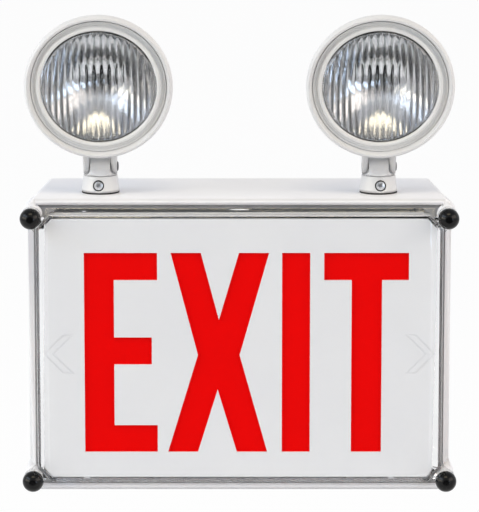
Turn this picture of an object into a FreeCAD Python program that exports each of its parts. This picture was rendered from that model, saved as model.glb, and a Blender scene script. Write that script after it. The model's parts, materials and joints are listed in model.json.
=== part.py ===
import FreeCAD, Part
import math
import os
import Sketcher

# Wet-location emergency exit light: a drafted moulded back housing for wall mounting, a clear
# shield tray held by four thumbscrews, a stencil face plate over a light tray, and two
# adjustable round lamp heads on top.  Millimetres.  The origin is the centre of the housing's
# back face, +Y goes into the wall, the sign faces -Y and +Z is up.

Vector = FreeCAD.Vector
ROOT_HALF = math.sqrt(0.5)

# name, value, what it is
DIMENSIONS = [
    ("box_width", 316.5, "housing width at the rim"),
    ("box_height", 223.0, "housing height at the rim"),
    ("box_depth", 108.0, "wall to rim"),
    ("side_taper", 8.7, "how far each side draws in from rim to wall"),
    ("top_taper", 0.95, "how far top and bottom draw in from rim to wall"),
    ("wall", 3.0, "housing wall"),
    ("corner_round", 5.0, "radius of the housing's long corners"),
    ("back_round", 2.5, "radius round the back face"),
    ("rim_side", 4.2, "width of the rim land at the sides"),
    ("rim_top", 4.6, "width of the rim land at top and bottom"),
    ("ledge_width", 3.2, "gasket ledge inside the rim land"),
    ("ledge_thick", 4.0, "gasket ledge thickness"),
    ("ledge_chamfer", 14.3, "corner cut of the ledge opening"),
    ("gasket_thick", 2.0, "shield gasket"),
    ("post_inset_side", 3.05, "thumbscrew axis in from the side of the rim"),
    ("post_inset_top", 11.4, "thumbscrew axis in from the top of the rim"),
    ("post_radius", 7.5, "corner post"),
    ("post_stand", 11.5, "corner post in front of the rim"),
    ("post_root", 40.0, "corner post behind the rim"),
    ("post_hole_depth", 24.0, "depth of the thumbscrew hole"),
    ("flare_length", 9.0, "ramp from the side wall out to a post"),
    ("flare_fade", 28.0, "length over which flares and posts run out into the side wall"),
    ("shield_gap", 0.35, "gap round the shield flange"),
    ("shield_inset_side", 2.3, "shield tray in from the rim opening at the sides"),
    ("shield_inset_top", 5.2, "shield tray in from the rim opening at top and bottom"),
    ("shield_stand", 17.0, "shield face in front of the rim"),
    ("shield_wall", 2.4, "shield wall, face and flange"),
    ("shield_chamfer", 10.0, "corner cut of the shield tray"),
    ("ear_thick", 3.0, "shield ear under a thumbscrew"),
    ("ear_clear", 0.4, "radial clearance of a stud in a shield ear"),
    ("shield_round", 1.0, "radius of the shield's front edge"),
    ("plate_gap", 0.8, "gap between face plate and shield wall"),
    ("plate_thick", 2.0, "face plate"),
    ("plate_behind", 1.6, "gap between face plate and shield face"),
    ("plate_chamfer", 8.0, "corner cut of the face plate"),
    ("diffuser_thick", 1.5, "red diffuser"),
    ("diffuser_inset", 3.0, "diffuser in from the edge of the face plate"),
    ("chevron_inset", 11.25, "chevron point in from the side of the rim"),
    ("chevron_reach", 14.8, "chevron point to the ends of its arms"),
    ("chevron_half", 14.9, "half height of a chevron"),
    ("chevron_width", 8.2, "width of a chevron arm along X"),
    ("chevron_drop", 3.9, "chevrons below the centre"),
    ("chevron_groove", 0.8, "width of the knock-out groove"),
    ("groove_depth", 0.5, "depth of the knock-out groove"),
    ("pan_inset", 2.5, "light tray in from the edge of the face plate"),
    ("pan_behind", 16.0, "back of the light tray behind the rim"),
    ("pan_wall", 1.6, "light tray wall"),
    ("pan_floor", 2.0, "light tray floor"),
    ("pan_post_side", 8.0, "light tray screw in from the tray side"),
    ("pan_post_top", 10.0, "light tray screw in from the tray top"),
    ("pan_post_radius", 4.0, "boss under a light tray screw"),
    ("led_board_inset", 18.05, "LED board in from the tray's side"),
    ("led_board_height", 12.0, "LED board"),
    ("led_row_inset", 36.0, "LED row in from the tray's top or bottom"),
    ("board_thick", 1.6, "circuit boards"),
    ("led_size", 5.0, "LED package"),
    ("led_end", 16.0, "first LED in from the board's end"),
    ("led_count", 9, "LEDs on a board"),
    ("mount_inset_side", 38.25, "wall screw hole in from the side of the rim"),
    ("mount_inset_top", 13.5, "wall screw hole in from the top of the rim"),
    ("mount_hole", 2.4, "radius of a wall screw hole"),
    ("entry_z", 55.0, "rear wiring entry above the centre"),
    ("entry_hole", 11.1, "radius of the rear wiring entry"),
    ("neck_x", 105.1, "lamp neck from the centre line"),
    ("neck_behind", 33.7, "lamp neck axis behind the rim"),
    ("neck_clear", 0.25, "radial clearance of a collar's stem in the top wall"),
    ("seat_margin", 0.6, "level seat beyond a collar's base, past the gasket's inset again"),
    ("neck_gasket_thick", 1.2, "gasket under the collar"),
    ("neck_gasket_inset", 0.2, "gasket in from the edge of the collar's base"),
    ("collar_base", 14.4, "collar radius at the gasket"),
    ("collar_top", 12.8, "collar radius at its top"),
    ("collar_height", 12.0, "collar without its gasket"),
    ("stem_radius", 6.35, "threaded stem under the collar"),
    ("stem_length", 12.0, "threaded stem under the collar"),
    ("wire_hole", 4.0, "radius of the wire way in the collar"),
    ("spigot_radius", 9.0, "knuckle spigot in the collar"),
    ("spigot_length", 9.8, "knuckle spigot in the collar"),
    ("running_gap", 0.05, "radial clearance of a turning fit"),
    ("face_gap", 0.2, "gap between faces that turn on each other"),
    ("set_screw_height", 6.7, "collar screw above the top face"),
    ("set_screw_turn", 4.5, "collar screw turned outwards, degrees"),
    ("set_screw_head", 4.2, "radius of the collar screw's head"),
    ("set_screw_shank", 1.6, "radius of the collar screw's shank"),
    ("nut_radius", 10.5, "neck locknut across corners, half"),
    ("nut_thick", 5.0, "neck locknut"),
    ("pivot_rise", 6.5, "tilt pivot above the collar"),
    ("shoulder_inset", 0.6, "knuckle shoulder in from the collar's top edge"),
    ("shoulder_thick", 0.45, "edge of the knuckle shoulder"),
    ("tongue_width", 15.0, "knuckle tongue between the lugs"),
    ("tongue_round", 7.0, "radius of the tongue about the pivot"),
    ("lug_thick", 5.0, "lug on the lamp shell"),
    ("lug_round", 5.6, "radius of a lug's end about the pivot"),
    ("lug_blend", 4.0, "rounding on the inner edge of a lug's end"),
    ("pivot_radius", 2.5, "pivot screw"),
    ("pivot_head", 3.6, "radius of the pivot screw's head"),
    ("pivot_head_thick", 2.2, "pivot screw's head"),
    ("pivot_head_sunk", 1.2, "how deep the pivot screw's head sits in its lug"),
    ("pivot_nut", 4.2, "pivot nut across corners, half"),
    ("pivot_nut_thick", 2.8, "pivot nut"),
    ("pivot_seat_gap", 0.15, "clearance round the pivot screw's head and nut in their lugs"),
    ("lamp_forward", 26.0, "lamp centre in front of the pivot"),
    ("lamp_clear", 8.5, "lamp shell above the pivot"),
    ("lamp_tilt", 10.0, "lamp aimed down, degrees"),
    ("lamp_radius", 55.4, "lamp shell at its rim"),
    ("lamp_depth", 47.0, "lamp shell behind its rim"),
    ("lamp_back", 15.0, "radius of the flat at the back of the shell"),
    ("shell_wall", 2.5, "lamp shell wall"),
    ("shell_rim", 5.5, "shell rim round the seat for the retaining ring"),
    ("bezel_gap", 0.6, "groove between shell and retaining ring"),
    ("bezel_width", 5.7, "retaining ring, from its outside to its lip"),
    ("lens_edge_gap", 1.3, "lens flange in from the seat"),
    ("lens_flange", 1.8, "lens flange"),
    ("flute_count", 16, "flutes across the lens"),
    ("flute_bulge", 3.6, "radius of a flute"),
    ("lens_body", 2.6, "lens body in front of its flange's back"),
    ("reflector_wall", 1.0, "reflector"),
    ("reflector_deep", 29.0, "reflector from its flange to its neck"),
    ("reflector_neck", 8.0, "radius of the reflector's neck"),
    ("bulb_radius", 4.6, "bulb glass"),
    ("socket_radius", 9.5, "bulb socket"),
    ("knob_radius", 7.9, "thumbscrew knob"),
    ("knob_back", 6.0, "knob centre in front of its flat back"),
    ("stud_radius", 2.5, "thumbscrew stud"),
    ("stud_length", 20.0, "thumbscrew stud behind the knob"),
    ("washer_radius", 5.6, "washer under a knob"),
    ("washer_thick", 1.5, "washer under a knob"),
    ("battery_width", 106.0, "sealed battery"),
    ("battery_deep", 47.0, "sealed battery"),
    ("battery_high", 70.0, "sealed battery"),
    ("battery_side", 15.0, "battery in from the side wall"),
    ("battery_lift", 17.6, "battery above the bottom wall"),
    ("strap_width", 30.0, "battery strap"),
    ("strap_thick", 1.2, "battery strap"),
    ("strap_foot", 13.0, "foot of the battery strap"),
    ("strap_boss", 6.0, "boss under a strap foot"),
    ("charger_width", 110.0, "charger board"),
    ("charger_high", 80.0, "charger board"),
    ("charger_side", 10.0, "charger board in from the side wall"),
    ("charger_lift", 47.6, "charger board above the bottom wall"),
    ("standoff", 8.0, "standoff under the charger board"),
    ("standoff_radius", 3.2, "standoff under the charger board"),
    ("board_screw_inset", 6.0, "board screw in from the board's edges"),
    ("switch_x", 75.0, "test switch from the centre line"),
    ("switch_behind", 48.0, "test switch and pilot light behind the rim"),
    ("switch_hole", 6.1, "radius of the test switch hole"),
    ("button_radius", 4.5, "test button"),
    ("button_stand", 4.0, "test button below its bushing"),
    ("pilot_x", 100.0, "pilot light from the centre line"),
    ("pilot_hole", 3.6, "radius of the pilot light hole"),
]

document = FreeCAD.newDocument("exit_light")
sheet = document.addObject("Spreadsheet::Sheet", "dims")
nodes = []


class Size:
    """A number with the sheet formula that gives it."""

    def __init__(self, number, formula):
        self.number = float(number)
        self.formula = formula

    def __add__(self, other):
        other = as_size(other)
        return Size(self.number + other.number, "(%s + %s)" % (self.formula, other.formula))

    def __sub__(self, other):
        other = as_size(other)
        return Size(self.number - other.number, "(%s - %s)" % (self.formula, other.formula))

    def __mul__(self, other):
        other = as_size(other)
        return Size(self.number * other.number, "(%s * %s)" % (self.formula, other.formula))

    def __truediv__(self, other):
        other = as_size(other)
        return Size(self.number / other.number, "(%s / %s)" % (self.formula, other.formula))

    def __neg__(self):
        return as_size(0) - self

    __radd__ = __add__
    __rmul__ = __mul__

    def __rsub__(self, other):
        return as_size(other) - self


def as_size(value):
    return value if isinstance(value, Size) else Size(value, "%.9g" % value)


class Sheet:
    """The driving dimensions, read by name."""

    def __init__(self):
        for row, (name, value, note) in enumerate(DIMENSIONS, start=1):
            sheet.set("A%d" % row, note)
            sheet.set("B%d" % row, str(value))
            sheet.setAlias("B%d" % row, name)
            setattr(self, name, Size(value, "dims." + name))
        document.recompute()


d = Sheet()


# ---------------------------------------------------------------- sketch and feature helpers

def bind(thing, path, value):
    thing.setExpression(path, as_size(value).formula)


def new_node(name):
    body = document.addObject("PartDesign::Body", name)
    body.Label = name
    nodes.append(body)
    return body


def set_place(node, x=0, y=0, z=0, about=Vector(0, 0, 1), angle=0):
    """Put a node at a point, turned about an axis, with each value tied to the sheet."""
    x, y, z, angle = (as_size(value) for value in (x, y, z, angle))
    turn = FreeCAD.Rotation(about, angle.number)
    node.Placement = FreeCAD.Placement(Vector(x.number, y.number, z.number), turn)
    bind(node, ".Placement.Base.x", x)
    bind(node, ".Placement.Base.y", y)
    bind(node, ".Placement.Base.z", z)
    if angle.number:
        bind(node, ".Placement.Rotation.Angle", angle)


def new_sketch(body, plane, offset=0, rise=0):
    """A sketch on an origin plane of the body, moved ahead of it and up in it."""
    support = next(item for item in body.Origin.OriginFeatures if item.Role == plane + "_Plane")
    sketch = body.newObject("Sketcher::SketchObject", "sketch")
    sketch.AttachmentSupport = [(support, "")]
    sketch.MapMode = "FlatFace"
    offset, rise = as_size(offset), as_size(rise)
    place = Vector(0, rise.number, offset.number)
    sketch.AttachmentOffset = FreeCAD.Placement(place, FreeCAD.Rotation())
    bind(sketch, ".AttachmentOffset.Base.y", rise)
    bind(sketch, ".AttachmentOffset.Base.z", offset)
    return sketch


def pin_point(sketch, geometry, end, x, y):
    """Hold a point of the sketch at x, y from the origin."""
    for kind, value, axis in (("DistanceX", as_size(x), -2), ("DistanceY", as_size(y), -1)):
        if value.formula == "0":
            sketch.addConstraint(Sketcher.Constraint("PointOnObject", geometry, end, axis))
            continue
        if value.number >= 0:
            rule = Sketcher.Constraint(kind, -1, 1, geometry, end, value.number)
        else:
            rule = Sketcher.Constraint(kind, geometry, end, -1, 1, -value.number)
            value = -value
        bind(sketch, "Constraints[%d]" % sketch.addConstraint(rule), value)


def draw_circle(sketch, x, y, radius):
    x, y, radius = as_size(x), as_size(y), as_size(radius)
    circle = Part.Circle(Vector(x.number, y.number, 0), Vector(0, 0, 1), radius.number)
    index = sketch.addGeometry(circle, False)
    pin_point(sketch, index, 3, x, y)
    rule = sketch.addConstraint(Sketcher.Constraint("Radius", index, radius.number))
    bind(sketch, "Constraints[%d]" % rule, radius)


def arc_between(start, stop, radius, left):
    """A circle arc from start to stop that bulges to the left or right of the way travelled."""
    chord = stop - start
    middle = (start + stop) * 0.5
    side = Vector(-chord.y, chord.x, 0).normalize()
    rise = math.sqrt(max(radius ** 2 - (chord.Length / 2) ** 2, 0))
    centre = middle - side * rise if left else middle + side * rise
    first, last = (stop, start) if left else (start, stop)
    angles = [math.atan2(point.y - centre.y, point.x - centre.x) for point in (first, last)]
    if angles[1] < angles[0]:
        angles[1] += 2 * math.pi
    return Part.ArcOfCircle(Part.Circle(centre, Vector(0, 0, 1), radius), angles[0], angles[1])


def draw_outline(sketch, points, arcs=None):
    """A closed outline; arcs maps a segment's number to its radius and the side it bulges to."""
    arcs = arcs or {}
    corners = [(as_size(x), as_size(y)) for x, y in points]
    spots = [Vector(x.number, y.number, 0) for x, y in corners]
    ends = []
    first = sketch.GeometryCount
    for step, start in enumerate(spots):
        stop = spots[(step + 1) % len(spots)]
        if step in arcs:
            radius, left = as_size(arcs[step][0]), arcs[step][1] == "left"
            index = sketch.addGeometry(arc_between(start, stop, radius.number, left), False)
            rule = sketch.addConstraint(Sketcher.Constraint("Radius", index, radius.number))
            bind(sketch, "Constraints[%d]" % rule, radius)
            ends.append((index, 2, 1) if left else (index, 1, 2))
        else:
            index = sketch.addGeometry(Part.LineSegment(start, stop), False)
            ends.append((index, 1, 2))
    for step, (index, begin, finish) in enumerate(ends):
        following = ends[(step + 1) % len(ends)]
        rule = Sketcher.Constraint("Coincident", index, finish, following[0], following[1])
        sketch.addConstraint(rule)
        pin_point(sketch, index, begin, *corners[step])
    return first


def draw_box(sketch, left, low, right, high):
    draw_outline(sketch, [(left, low), (right, low), (right, high), (left, high)])


def draw_centred(sketch, width, height, chamfer=None):
    """A rectangle about the origin, with its corners cut where a chamfer is given."""
    half_x, half_y = as_size(width) / 2, as_size(height) / 2
    if chamfer is None:
        draw_box(sketch, -half_x, -half_y, half_x, half_y)
        return
    in_x, in_y = half_x - chamfer, half_y - chamfer
    draw_outline(sketch, [
        (-in_x, -half_y), (in_x, -half_y), (half_x, -in_y), (half_x, in_y),
        (in_x, half_y), (-in_x, half_y), (-half_x, in_y), (-half_x, -in_y)])


def add_feature(body, kind, sketch, **settings):
    """A feature of the body; a cut has to take something away and an addition has to add."""
    before = body.Shape.Volume if body.Tip else 0.0
    feature = body.newObject("PartDesign::" + kind, kind.lower())
    feature.Profile = sketch
    for name, value in settings.items():
        if isinstance(value, Size):
            bind(feature, name, value)
        else:
            setattr(feature, name, value)
    document.recompute()
    change = body.Shape.Volume - before
    cuts = kind in ("Pocket", "Groove", "SubtractiveLoft")
    if (cuts and change > -1e-6) or (not cuts and change < 1e-6):
        raise ValueError("%s in %s changed nothing" % (kind, body.Label))
    return feature


def pad(body, sketch, length, **settings):
    return add_feature(body, "Pad", sketch, Length=as_size(length), **settings)


def pocket(body, sketch, length, **settings):
    return add_feature(body, "Pocket", sketch, Length=as_size(length), **settings)


def revolve(body, sketch):
    return add_feature(body, "Revolution", sketch, ReferenceAxis=(sketch, ["V_Axis"]), Angle=360)


def groove(body, sketch):
    return add_feature(body, "Groove", sketch, ReferenceAxis=(sketch, ["V_Axis"]), Angle=360)


def round_edges(body, radius, wanted, kind="Fillet"):
    """Round the edges of the body's last feature that the test picks."""
    tip = body.Tip
    names = ["Edge%d" % number for number, edge in enumerate(tip.Shape.Edges, start=1)
             if wanted(edge)]
    feature = body.newObject("PartDesign::" + kind, kind.lower())
    feature.Base = (tip, names)
    bind(feature, "Radius" if kind == "Fillet" else "Size", radius)
    document.recompute()
    return feature


def drop_ring(body, axis_plane, radius, offset, length):
    """Cut away all that lies outside a radius, so that only the round core is left."""
    sketch = new_sketch(body, axis_plane, offset)
    draw_circle(sketch, 0, 0, radius)
    draw_circle(sketch, 0, 0, as_size(radius) * 3)
    return pocket(body, sketch, length)


def along_y(edge):
    ends = [vertex.Point for vertex in edge.Vertexes]
    return len(ends) == 2 and abs(ends[0].y - ends[1].y) > 0.9 * edge.Length


def at_y(edge, y):
    return all(abs(vertex.Point.y - y) < 1e-3 for vertex in edge.Vertexes)


SIDES = (("left", -1), ("right", 1))
CORNERS = (("upper_left", -1, 1), ("upper_right", 1, 1),
           ("lower_left", -1, -1), ("lower_right", 1, -1))

# ---------------------------------------------------------------- shared places

back_width = d.box_width - 2 * d.side_taper
back_height = d.box_height - 2 * d.top_taper
opening_width = d.box_width - 2 * d.rim_side
opening_height = d.box_height - 2 * d.rim_top
flange_width = opening_width - 2 * d.shield_gap
flange_height = opening_height - 2 * d.shield_gap
ledge_open_width = opening_width - 2 * d.ledge_width
ledge_open_height = opening_height - 2 * d.ledge_width
recess = d.shield_wall + d.gasket_thick
post_x = d.box_width / 2 - d.post_inset_side
post_z = d.box_height / 2 - d.post_inset_top
post_hole = d.stud_radius + d.running_gap
tray_width = opening_width - 2 * d.shield_inset_side
tray_height = opening_height - 2 * d.shield_inset_top
# A chamfer line that is moved in by a wall shortens the corner cut by this share of the wall.
chamfer_share = 2 - math.sqrt(2)
tray_inner_chamfer = d.shield_chamfer - chamfer_share * d.shield_wall
plate_width = tray_width - 2 * (d.shield_wall + d.plate_gap)
plate_height = tray_height - 2 * (d.shield_wall + d.plate_gap)
plate_front = d.box_depth + d.shield_stand - d.shield_wall - d.plate_behind
diffuser_front = plate_front - d.plate_thick
pan_front = diffuser_front - d.diffuser_thick
pan_width = plate_width - 2 * d.pan_inset
pan_height = plate_height - 2 * d.pan_inset
pan_back = d.box_depth - d.pan_behind
pan_post_x = pan_width / 2 - d.pan_post_side
pan_post_z = pan_height / 2 - d.pan_post_top
neck_y = d.neck_behind - d.box_depth
top_z = d.box_height / 2
collar_z = top_z + d.neck_gasket_thick
collar_top_z = collar_z + d.collar_height
pivot_z = collar_top_z + d.pivot_rise
neck_hole = d.stem_radius + d.neck_clear
shoulder_radius = d.collar_top - d.shoulder_inset
lamp_above = d.lamp_radius + d.lamp_clear
lamp_y = neck_y - d.lamp_forward
lamp_z = pivot_z + lamp_above
bezel_seat = d.lamp_radius - d.shell_rim
bezel_outer = bezel_seat - d.bezel_gap
bezel_inner = bezel_outer - d.bezel_width
lens_edge = bezel_seat - d.lens_edge_gap
inner_side = back_width / 2 - d.wall
inner_bottom = d.wall - back_height / 2
battery_left = d.battery_side - inner_side
battery_bottom = inner_bottom + d.battery_lift
strap_left = battery_left + (d.battery_width - d.strap_width) / 2
charger_left = inner_side - d.charger_side - d.charger_width
charger_bottom = inner_bottom + d.charger_lift
charger_back = d.wall + d.standoff
charger_front = charger_back + d.board_thick
switch_y = d.switch_behind - d.box_depth


# ---------------------------------------------------------------- housing

def make_back_housing():
    """A drafted moulded box, open at the front, with corner posts, ledge, seats and bosses."""
    body = new_node("back_housing")
    back = new_sketch(body, "XZ")
    draw_centred(back, back_width, back_height)
    rim = new_sketch(body, "XZ", d.box_depth)
    draw_centred(rim, d.box_width, d.box_height)
    add_feature(body, "AdditiveLoft", back, Sections=[rim], Ruled=True)
    round_edges(body, d.corner_round, along_y)
    round_edges(body, d.back_round, lambda edge: at_y(edge, 0))
    add_side_flares(body)
    add_neck_and_switch_seats(body)
    cut_cavity(body)
    add_corner_posts(body)
    fade_posts(body)
    add_inner_bosses(body)
    cut_housing_holes(body)
    return body


def add_side_flares(body):
    """Ramps that carry the side walls out to the corner posts, and fade towards the back."""
    reach = post_x + d.post_radius * 0.72
    inside = d.box_width / 2 - d.rim_side
    for side in (-1, 1):
        for up in (-1, 1):
            tip_z = post_z - d.post_radius * 0.55
            root_z = tip_z - d.flare_length
            sketch = new_sketch(body, "XZ", d.box_depth - d.post_root)
            draw_outline(sketch, [
                (inside * side, root_z * up), (d.box_width / 2 * side, root_z * up),
                (reach * side, tip_z * up), (inside * side, tip_z * up)])
            pad(body, sketch, d.post_root)


def add_neck_and_switch_seats(body):
    """Level round seats on the drafted top and bottom walls."""
    seat_root = 4.0
    neck_seat = d.collar_base + d.neck_gasket_inset + d.seat_margin
    seats = [(d.neck_x * -1, neck_y, neck_seat, 1), (d.neck_x, neck_y, neck_seat, 1),
             (d.switch_x, switch_y, as_size(10.0), -1), (d.pilot_x, switch_y, as_size(7.0), -1)]
    for x, y, radius, up in seats:
        sketch = new_sketch(body, "XY", (top_z - seat_root) * up)
        draw_circle(sketch, x, y, radius)
        pad(body, sketch, seat_root, Reversed=up < 0)


def cut_cavity(body):
    """The hollow behind the ledge, the way through the ledge, and the recess for the flange."""
    ledge_back = d.box_depth - recess - d.ledge_thick
    share = ledge_back / d.box_depth
    back = new_sketch(body, "XZ", d.wall)
    draw_centred(back, back_width - 2 * d.wall, back_height - 2 * d.wall)
    front = new_sketch(body, "XZ", ledge_back)
    draw_centred(front, back_width + 2 * d.side_taper * share - 2 * d.wall,
                 back_height + 2 * d.top_taper * share - 2 * d.wall)
    add_feature(body, "SubtractiveLoft", back, Sections=[front], Ruled=True)
    ledge = new_sketch(body, "XZ", d.box_depth - recess)
    draw_centred(ledge, ledge_open_width, ledge_open_height, d.ledge_chamfer)
    pocket(body, ledge, d.ledge_thick + 1)
    flange = new_sketch(body, "XZ", d.box_depth)
    draw_centred(flange, opening_width, opening_height)
    pocket(body, flange, recess)


def add_corner_posts(body):
    """Round posts that stand in front of the rim and carry the shield's ears."""
    sketch = new_sketch(body, "XZ", d.box_depth - d.post_root)
    for _, side, up in CORNERS:
        draw_circle(sketch, post_x * side, post_z * up, d.post_radius)
    pad(body, sketch, d.post_root + d.post_stand)
    holes = new_sketch(body, "XZ", d.box_depth + d.post_stand)
    for _, side, up in CORNERS:
        draw_circle(holes, post_x * side, post_z * up, post_hole)
    pocket(body, holes, d.post_hole_depth)


def fade_posts(body):
    """Slanting cuts that run the posts and flares out into the drafted side walls."""
    root_y = d.post_root - d.box_depth
    root_x = d.box_width / 2 - d.side_taper * d.post_root / d.box_depth + 0.05
    outside = post_x + d.post_radius
    sketch = new_sketch(body, "XY")
    for side in (-1, 1):
        draw_outline(sketch, [
            (root_x * side, root_y), (outside * side, root_y - d.flare_fade),
            ((outside + 5) * side, root_y - d.flare_fade), ((outside + 5) * side, root_y + 5),
            (root_x * side, root_y + 5)])
    pocket(body, sketch, d.box_height, Midplane=True)


def board_screw_points():
    low_x, high_x = charger_left + d.board_screw_inset, \
        charger_left + d.charger_width - d.board_screw_inset
    low_z, high_z = charger_bottom + d.board_screw_inset, \
        charger_bottom + d.charger_high - d.board_screw_inset
    return [(x, z) for x in (low_x, high_x) for z in (low_z, high_z)]


def strap_screw_points():
    x = strap_left + d.strap_width / 2
    edge = d.strap_thick + d.strap_foot / 2
    return [(x, battery_bottom - edge), (x, battery_bottom + d.battery_high + edge)]


def add_inner_bosses(body):
    """Bosses on the inside of the back wall, each with a screw hole."""
    root = d.wall - 1
    groups = [
        ([(pan_post_x * side, pan_post_z * up) for _, side, up in CORNERS],
         d.pan_post_radius, pan_back),
        (board_screw_points(), d.standoff_radius, charger_back),
        (strap_screw_points(), as_size(4.5), d.wall + d.strap_boss)]
    for points, radius, top in groups:
        sketch = new_sketch(body, "XZ", root)
        for x, z in points:
            draw_circle(sketch, x, z, radius)
        pad(body, sketch, top - root)
    for points, radius, top in groups:
        sketch = new_sketch(body, "XZ", top)
        for x, z in points:
            draw_circle(sketch, x, z, 1.3)
        pocket(body, sketch, 6.0)


def cut_housing_holes(body):
    back = new_sketch(body, "XZ", d.wall)
    mount_x = d.box_width / 2 - d.mount_inset_side
    mount_z = d.box_height / 2 - d.mount_inset_top
    for _, side, up in CORNERS:
        draw_circle(back, mount_x * side, mount_z * up, d.mount_hole)
    draw_circle(back, 0, d.entry_z, d.entry_hole)
    pocket(body, back, d.wall)
    top = new_sketch(body, "XY", top_z)
    for _, side in SIDES:
        draw_circle(top, d.neck_x * side, neck_y, neck_hole)
    pocket(body, top, 8)
    bottom = new_sketch(body, "XY", -top_z)
    draw_circle(bottom, d.switch_x, switch_y, d.switch_hole)
    draw_circle(bottom, d.pilot_x, switch_y, d.pilot_hole)
    pocket(body, bottom, 8, Reversed=True)


def make_housing_gasket():
    """A flat gasket under the shield's flange, notched round the corner posts."""
    body = new_node("housing_gasket")
    sketch = new_sketch(body, "XZ", d.box_depth - recess)
    draw_centred(sketch, flange_width, flange_height)
    draw_centred(sketch, ledge_open_width, ledge_open_height, d.ledge_chamfer)
    pad(body, sketch, d.gasket_thick)
    notch = new_sketch(body, "XZ", d.box_depth - d.shield_wall)
    for _, side, up in CORNERS:
        draw_circle(notch, post_x * side, post_z * up, d.post_radius + d.shield_gap)
    pocket(body, notch, d.gasket_thick)


def make_clear_shield():
    """A clear moulded tray with cut corners, a flange in the rim and an ear over each post."""
    body = new_node("clear_shield")
    base = d.box_depth - d.shield_wall
    tray = new_sketch(body, "XZ", base)
    draw_centred(tray, tray_width, tray_height, d.shield_chamfer)
    pad(body, tray, d.shield_stand + d.shield_wall)
    front_y = -(d.box_depth + d.shield_stand).number
    round_edges(body, d.shield_round, lambda edge: at_y(edge, front_y))
    flange = new_sketch(body, "XZ", base)
    draw_centred(flange, flange_width, flange_height)
    pad(body, flange, d.shield_wall)
    add_shield_ears(body)
    hollow = new_sketch(body, "XZ", base)
    draw_centred(hollow, tray_width - 2 * d.shield_wall, tray_height - 2 * d.shield_wall,
                 tray_inner_chamfer)
    pocket(body, hollow, d.shield_stand, Reversed=True)
    notch = new_sketch(body, "XZ", d.box_depth + 1)
    for _, side, up in CORNERS:
        draw_circle(notch, post_x * side, post_z * up, d.post_radius + d.shield_gap)
    pocket(body, notch, d.shield_wall + 1)
    holes = new_sketch(body, "XZ", d.box_depth + d.post_stand + d.ear_thick)
    for _, side, up in CORNERS:
        draw_circle(holes, post_x * side, post_z * up, d.stud_radius + d.ear_clear)
    pocket(body, holes, d.ear_thick)


def add_shield_ears(body):
    """Round ears on the posts, each joined to the tray's cut corner by a short web."""
    half_web = 6.4 * ROOT_HALF
    corner_gap = (post_x + post_z - tray_width / 2 - tray_height / 2 + d.shield_chamfer) / 2
    for _, side, up in CORNERS:
        ear = new_sketch(body, "XZ", d.box_depth + d.post_stand)
        draw_circle(ear, post_x * side, post_z * up, d.post_radius)
        pad(body, ear, d.ear_thick)
        web = new_sketch(body, "XZ", d.box_depth + d.post_stand)
        reach = corner_gap + 0.6
        points = [(post_x - across, post_z + across) for across in (half_web, -half_web)]
        points += [(x - reach, z - reach) for x, z in reversed(points)]
        draw_outline(web, [(x * side, z * up) for x, z in points])
        pad(body, web, d.ear_thick)


def make_face_plate():
    """The white stencil plate, with a knock-out chevron grooved at each end."""
    body = new_node("face_plate")
    sketch = new_sketch(body, "XZ", diffuser_front)
    draw_centred(sketch, plate_width, plate_height, d.plate_chamfer)
    pad(body, sketch, d.plate_thick)
    grooves = new_sketch(body, "XZ", plate_front)
    for side in (-1, 1):
        for inset in (0, d.chevron_groove):
            draw_chevron(grooves, side, inset)
    pocket(body, grooves, d.groove_depth)


def draw_chevron(sketch, side, inset):
    """An arrow head that points outwards; the inset moves each of its edges in."""
    slope = (d.chevron_reach / d.chevron_half).number
    along = inset * math.sqrt(1 + slope ** 2)
    tip = d.box_width / 2 - d.chevron_inset - along
    back = d.box_width / 2 - d.chevron_inset - d.chevron_width + along
    half = d.chevron_half - inset
    level = -d.chevron_drop
    run = half * slope
    draw_outline(sketch, [
        (tip * side, level), ((tip - run) * side, level + half), ((back - run) * side, level + half),
        (back * side, level), ((back - run) * side, level - half), ((tip - run) * side, level - half)])


def make_red_diffuser():
    body = new_node("red_diffuser")
    sketch = new_sketch(body, "XZ", pan_front)
    draw_centred(sketch, plate_width - 2 * d.diffuser_inset, plate_height - 2 * d.diffuser_inset,
                 d.plate_chamfer)
    pad(body, sketch, d.diffuser_thick)


# ---------------------------------------------------------------- light tray and electronics

def make_inner_pan():
    """The white tray that closes the wiring space and holds the LED boards."""
    body = new_node("inner_pan")
    outside = new_sketch(body, "XZ", pan_back)
    draw_centred(outside, pan_width, pan_height, d.plate_chamfer)
    pad(body, outside, pan_front - pan_back)
    inside = new_sketch(body, "XZ", pan_front)
    draw_centred(inside, pan_width - 2 * d.pan_wall, pan_height - 2 * d.pan_wall,
                 d.plate_chamfer - chamfer_share * d.pan_wall)
    pocket(body, inside, pan_front - pan_back - d.pan_floor)
    holes = new_sketch(body, "XZ", pan_back + d.pan_floor)
    for _, side, up in CORNERS:
        draw_circle(holes, pan_post_x * side, pan_post_z * up, 1.8)
    pocket(body, holes, d.pan_floor)


def make_led_boards():
    """Two LED boards on the light tray's floor, and their rows of LEDs."""
    board_back = pan_back + d.pan_floor
    half_length = pan_width / 2 - d.led_board_inset
    row_length = 2 * (half_length - d.led_end)
    rows = (("led_board_upper", 1), ("led_board_lower", -1))
    for name, up in rows:
        board = new_node(name)
        middle = (pan_height / 2 - d.led_row_inset) * up
        sketch = new_sketch(board, "XZ", board_back)
        draw_box(sketch, -half_length, middle - d.led_board_height / 2,
                 half_length, middle + d.led_board_height / 2)
        pad(board, sketch, d.board_thick)
        leds = new_node(name.replace("board", "row"))
        first = new_sketch(leds, "XZ", board_back + d.board_thick)
        start = -row_length / 2
        draw_box(first, start - d.led_size / 2, middle - d.led_size / 2,
                 start + d.led_size / 2, middle + d.led_size / 2)
        pad(leds, first, 1.6)
        repeat_row(leds, first, row_length, int(d.led_count.number))


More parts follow.
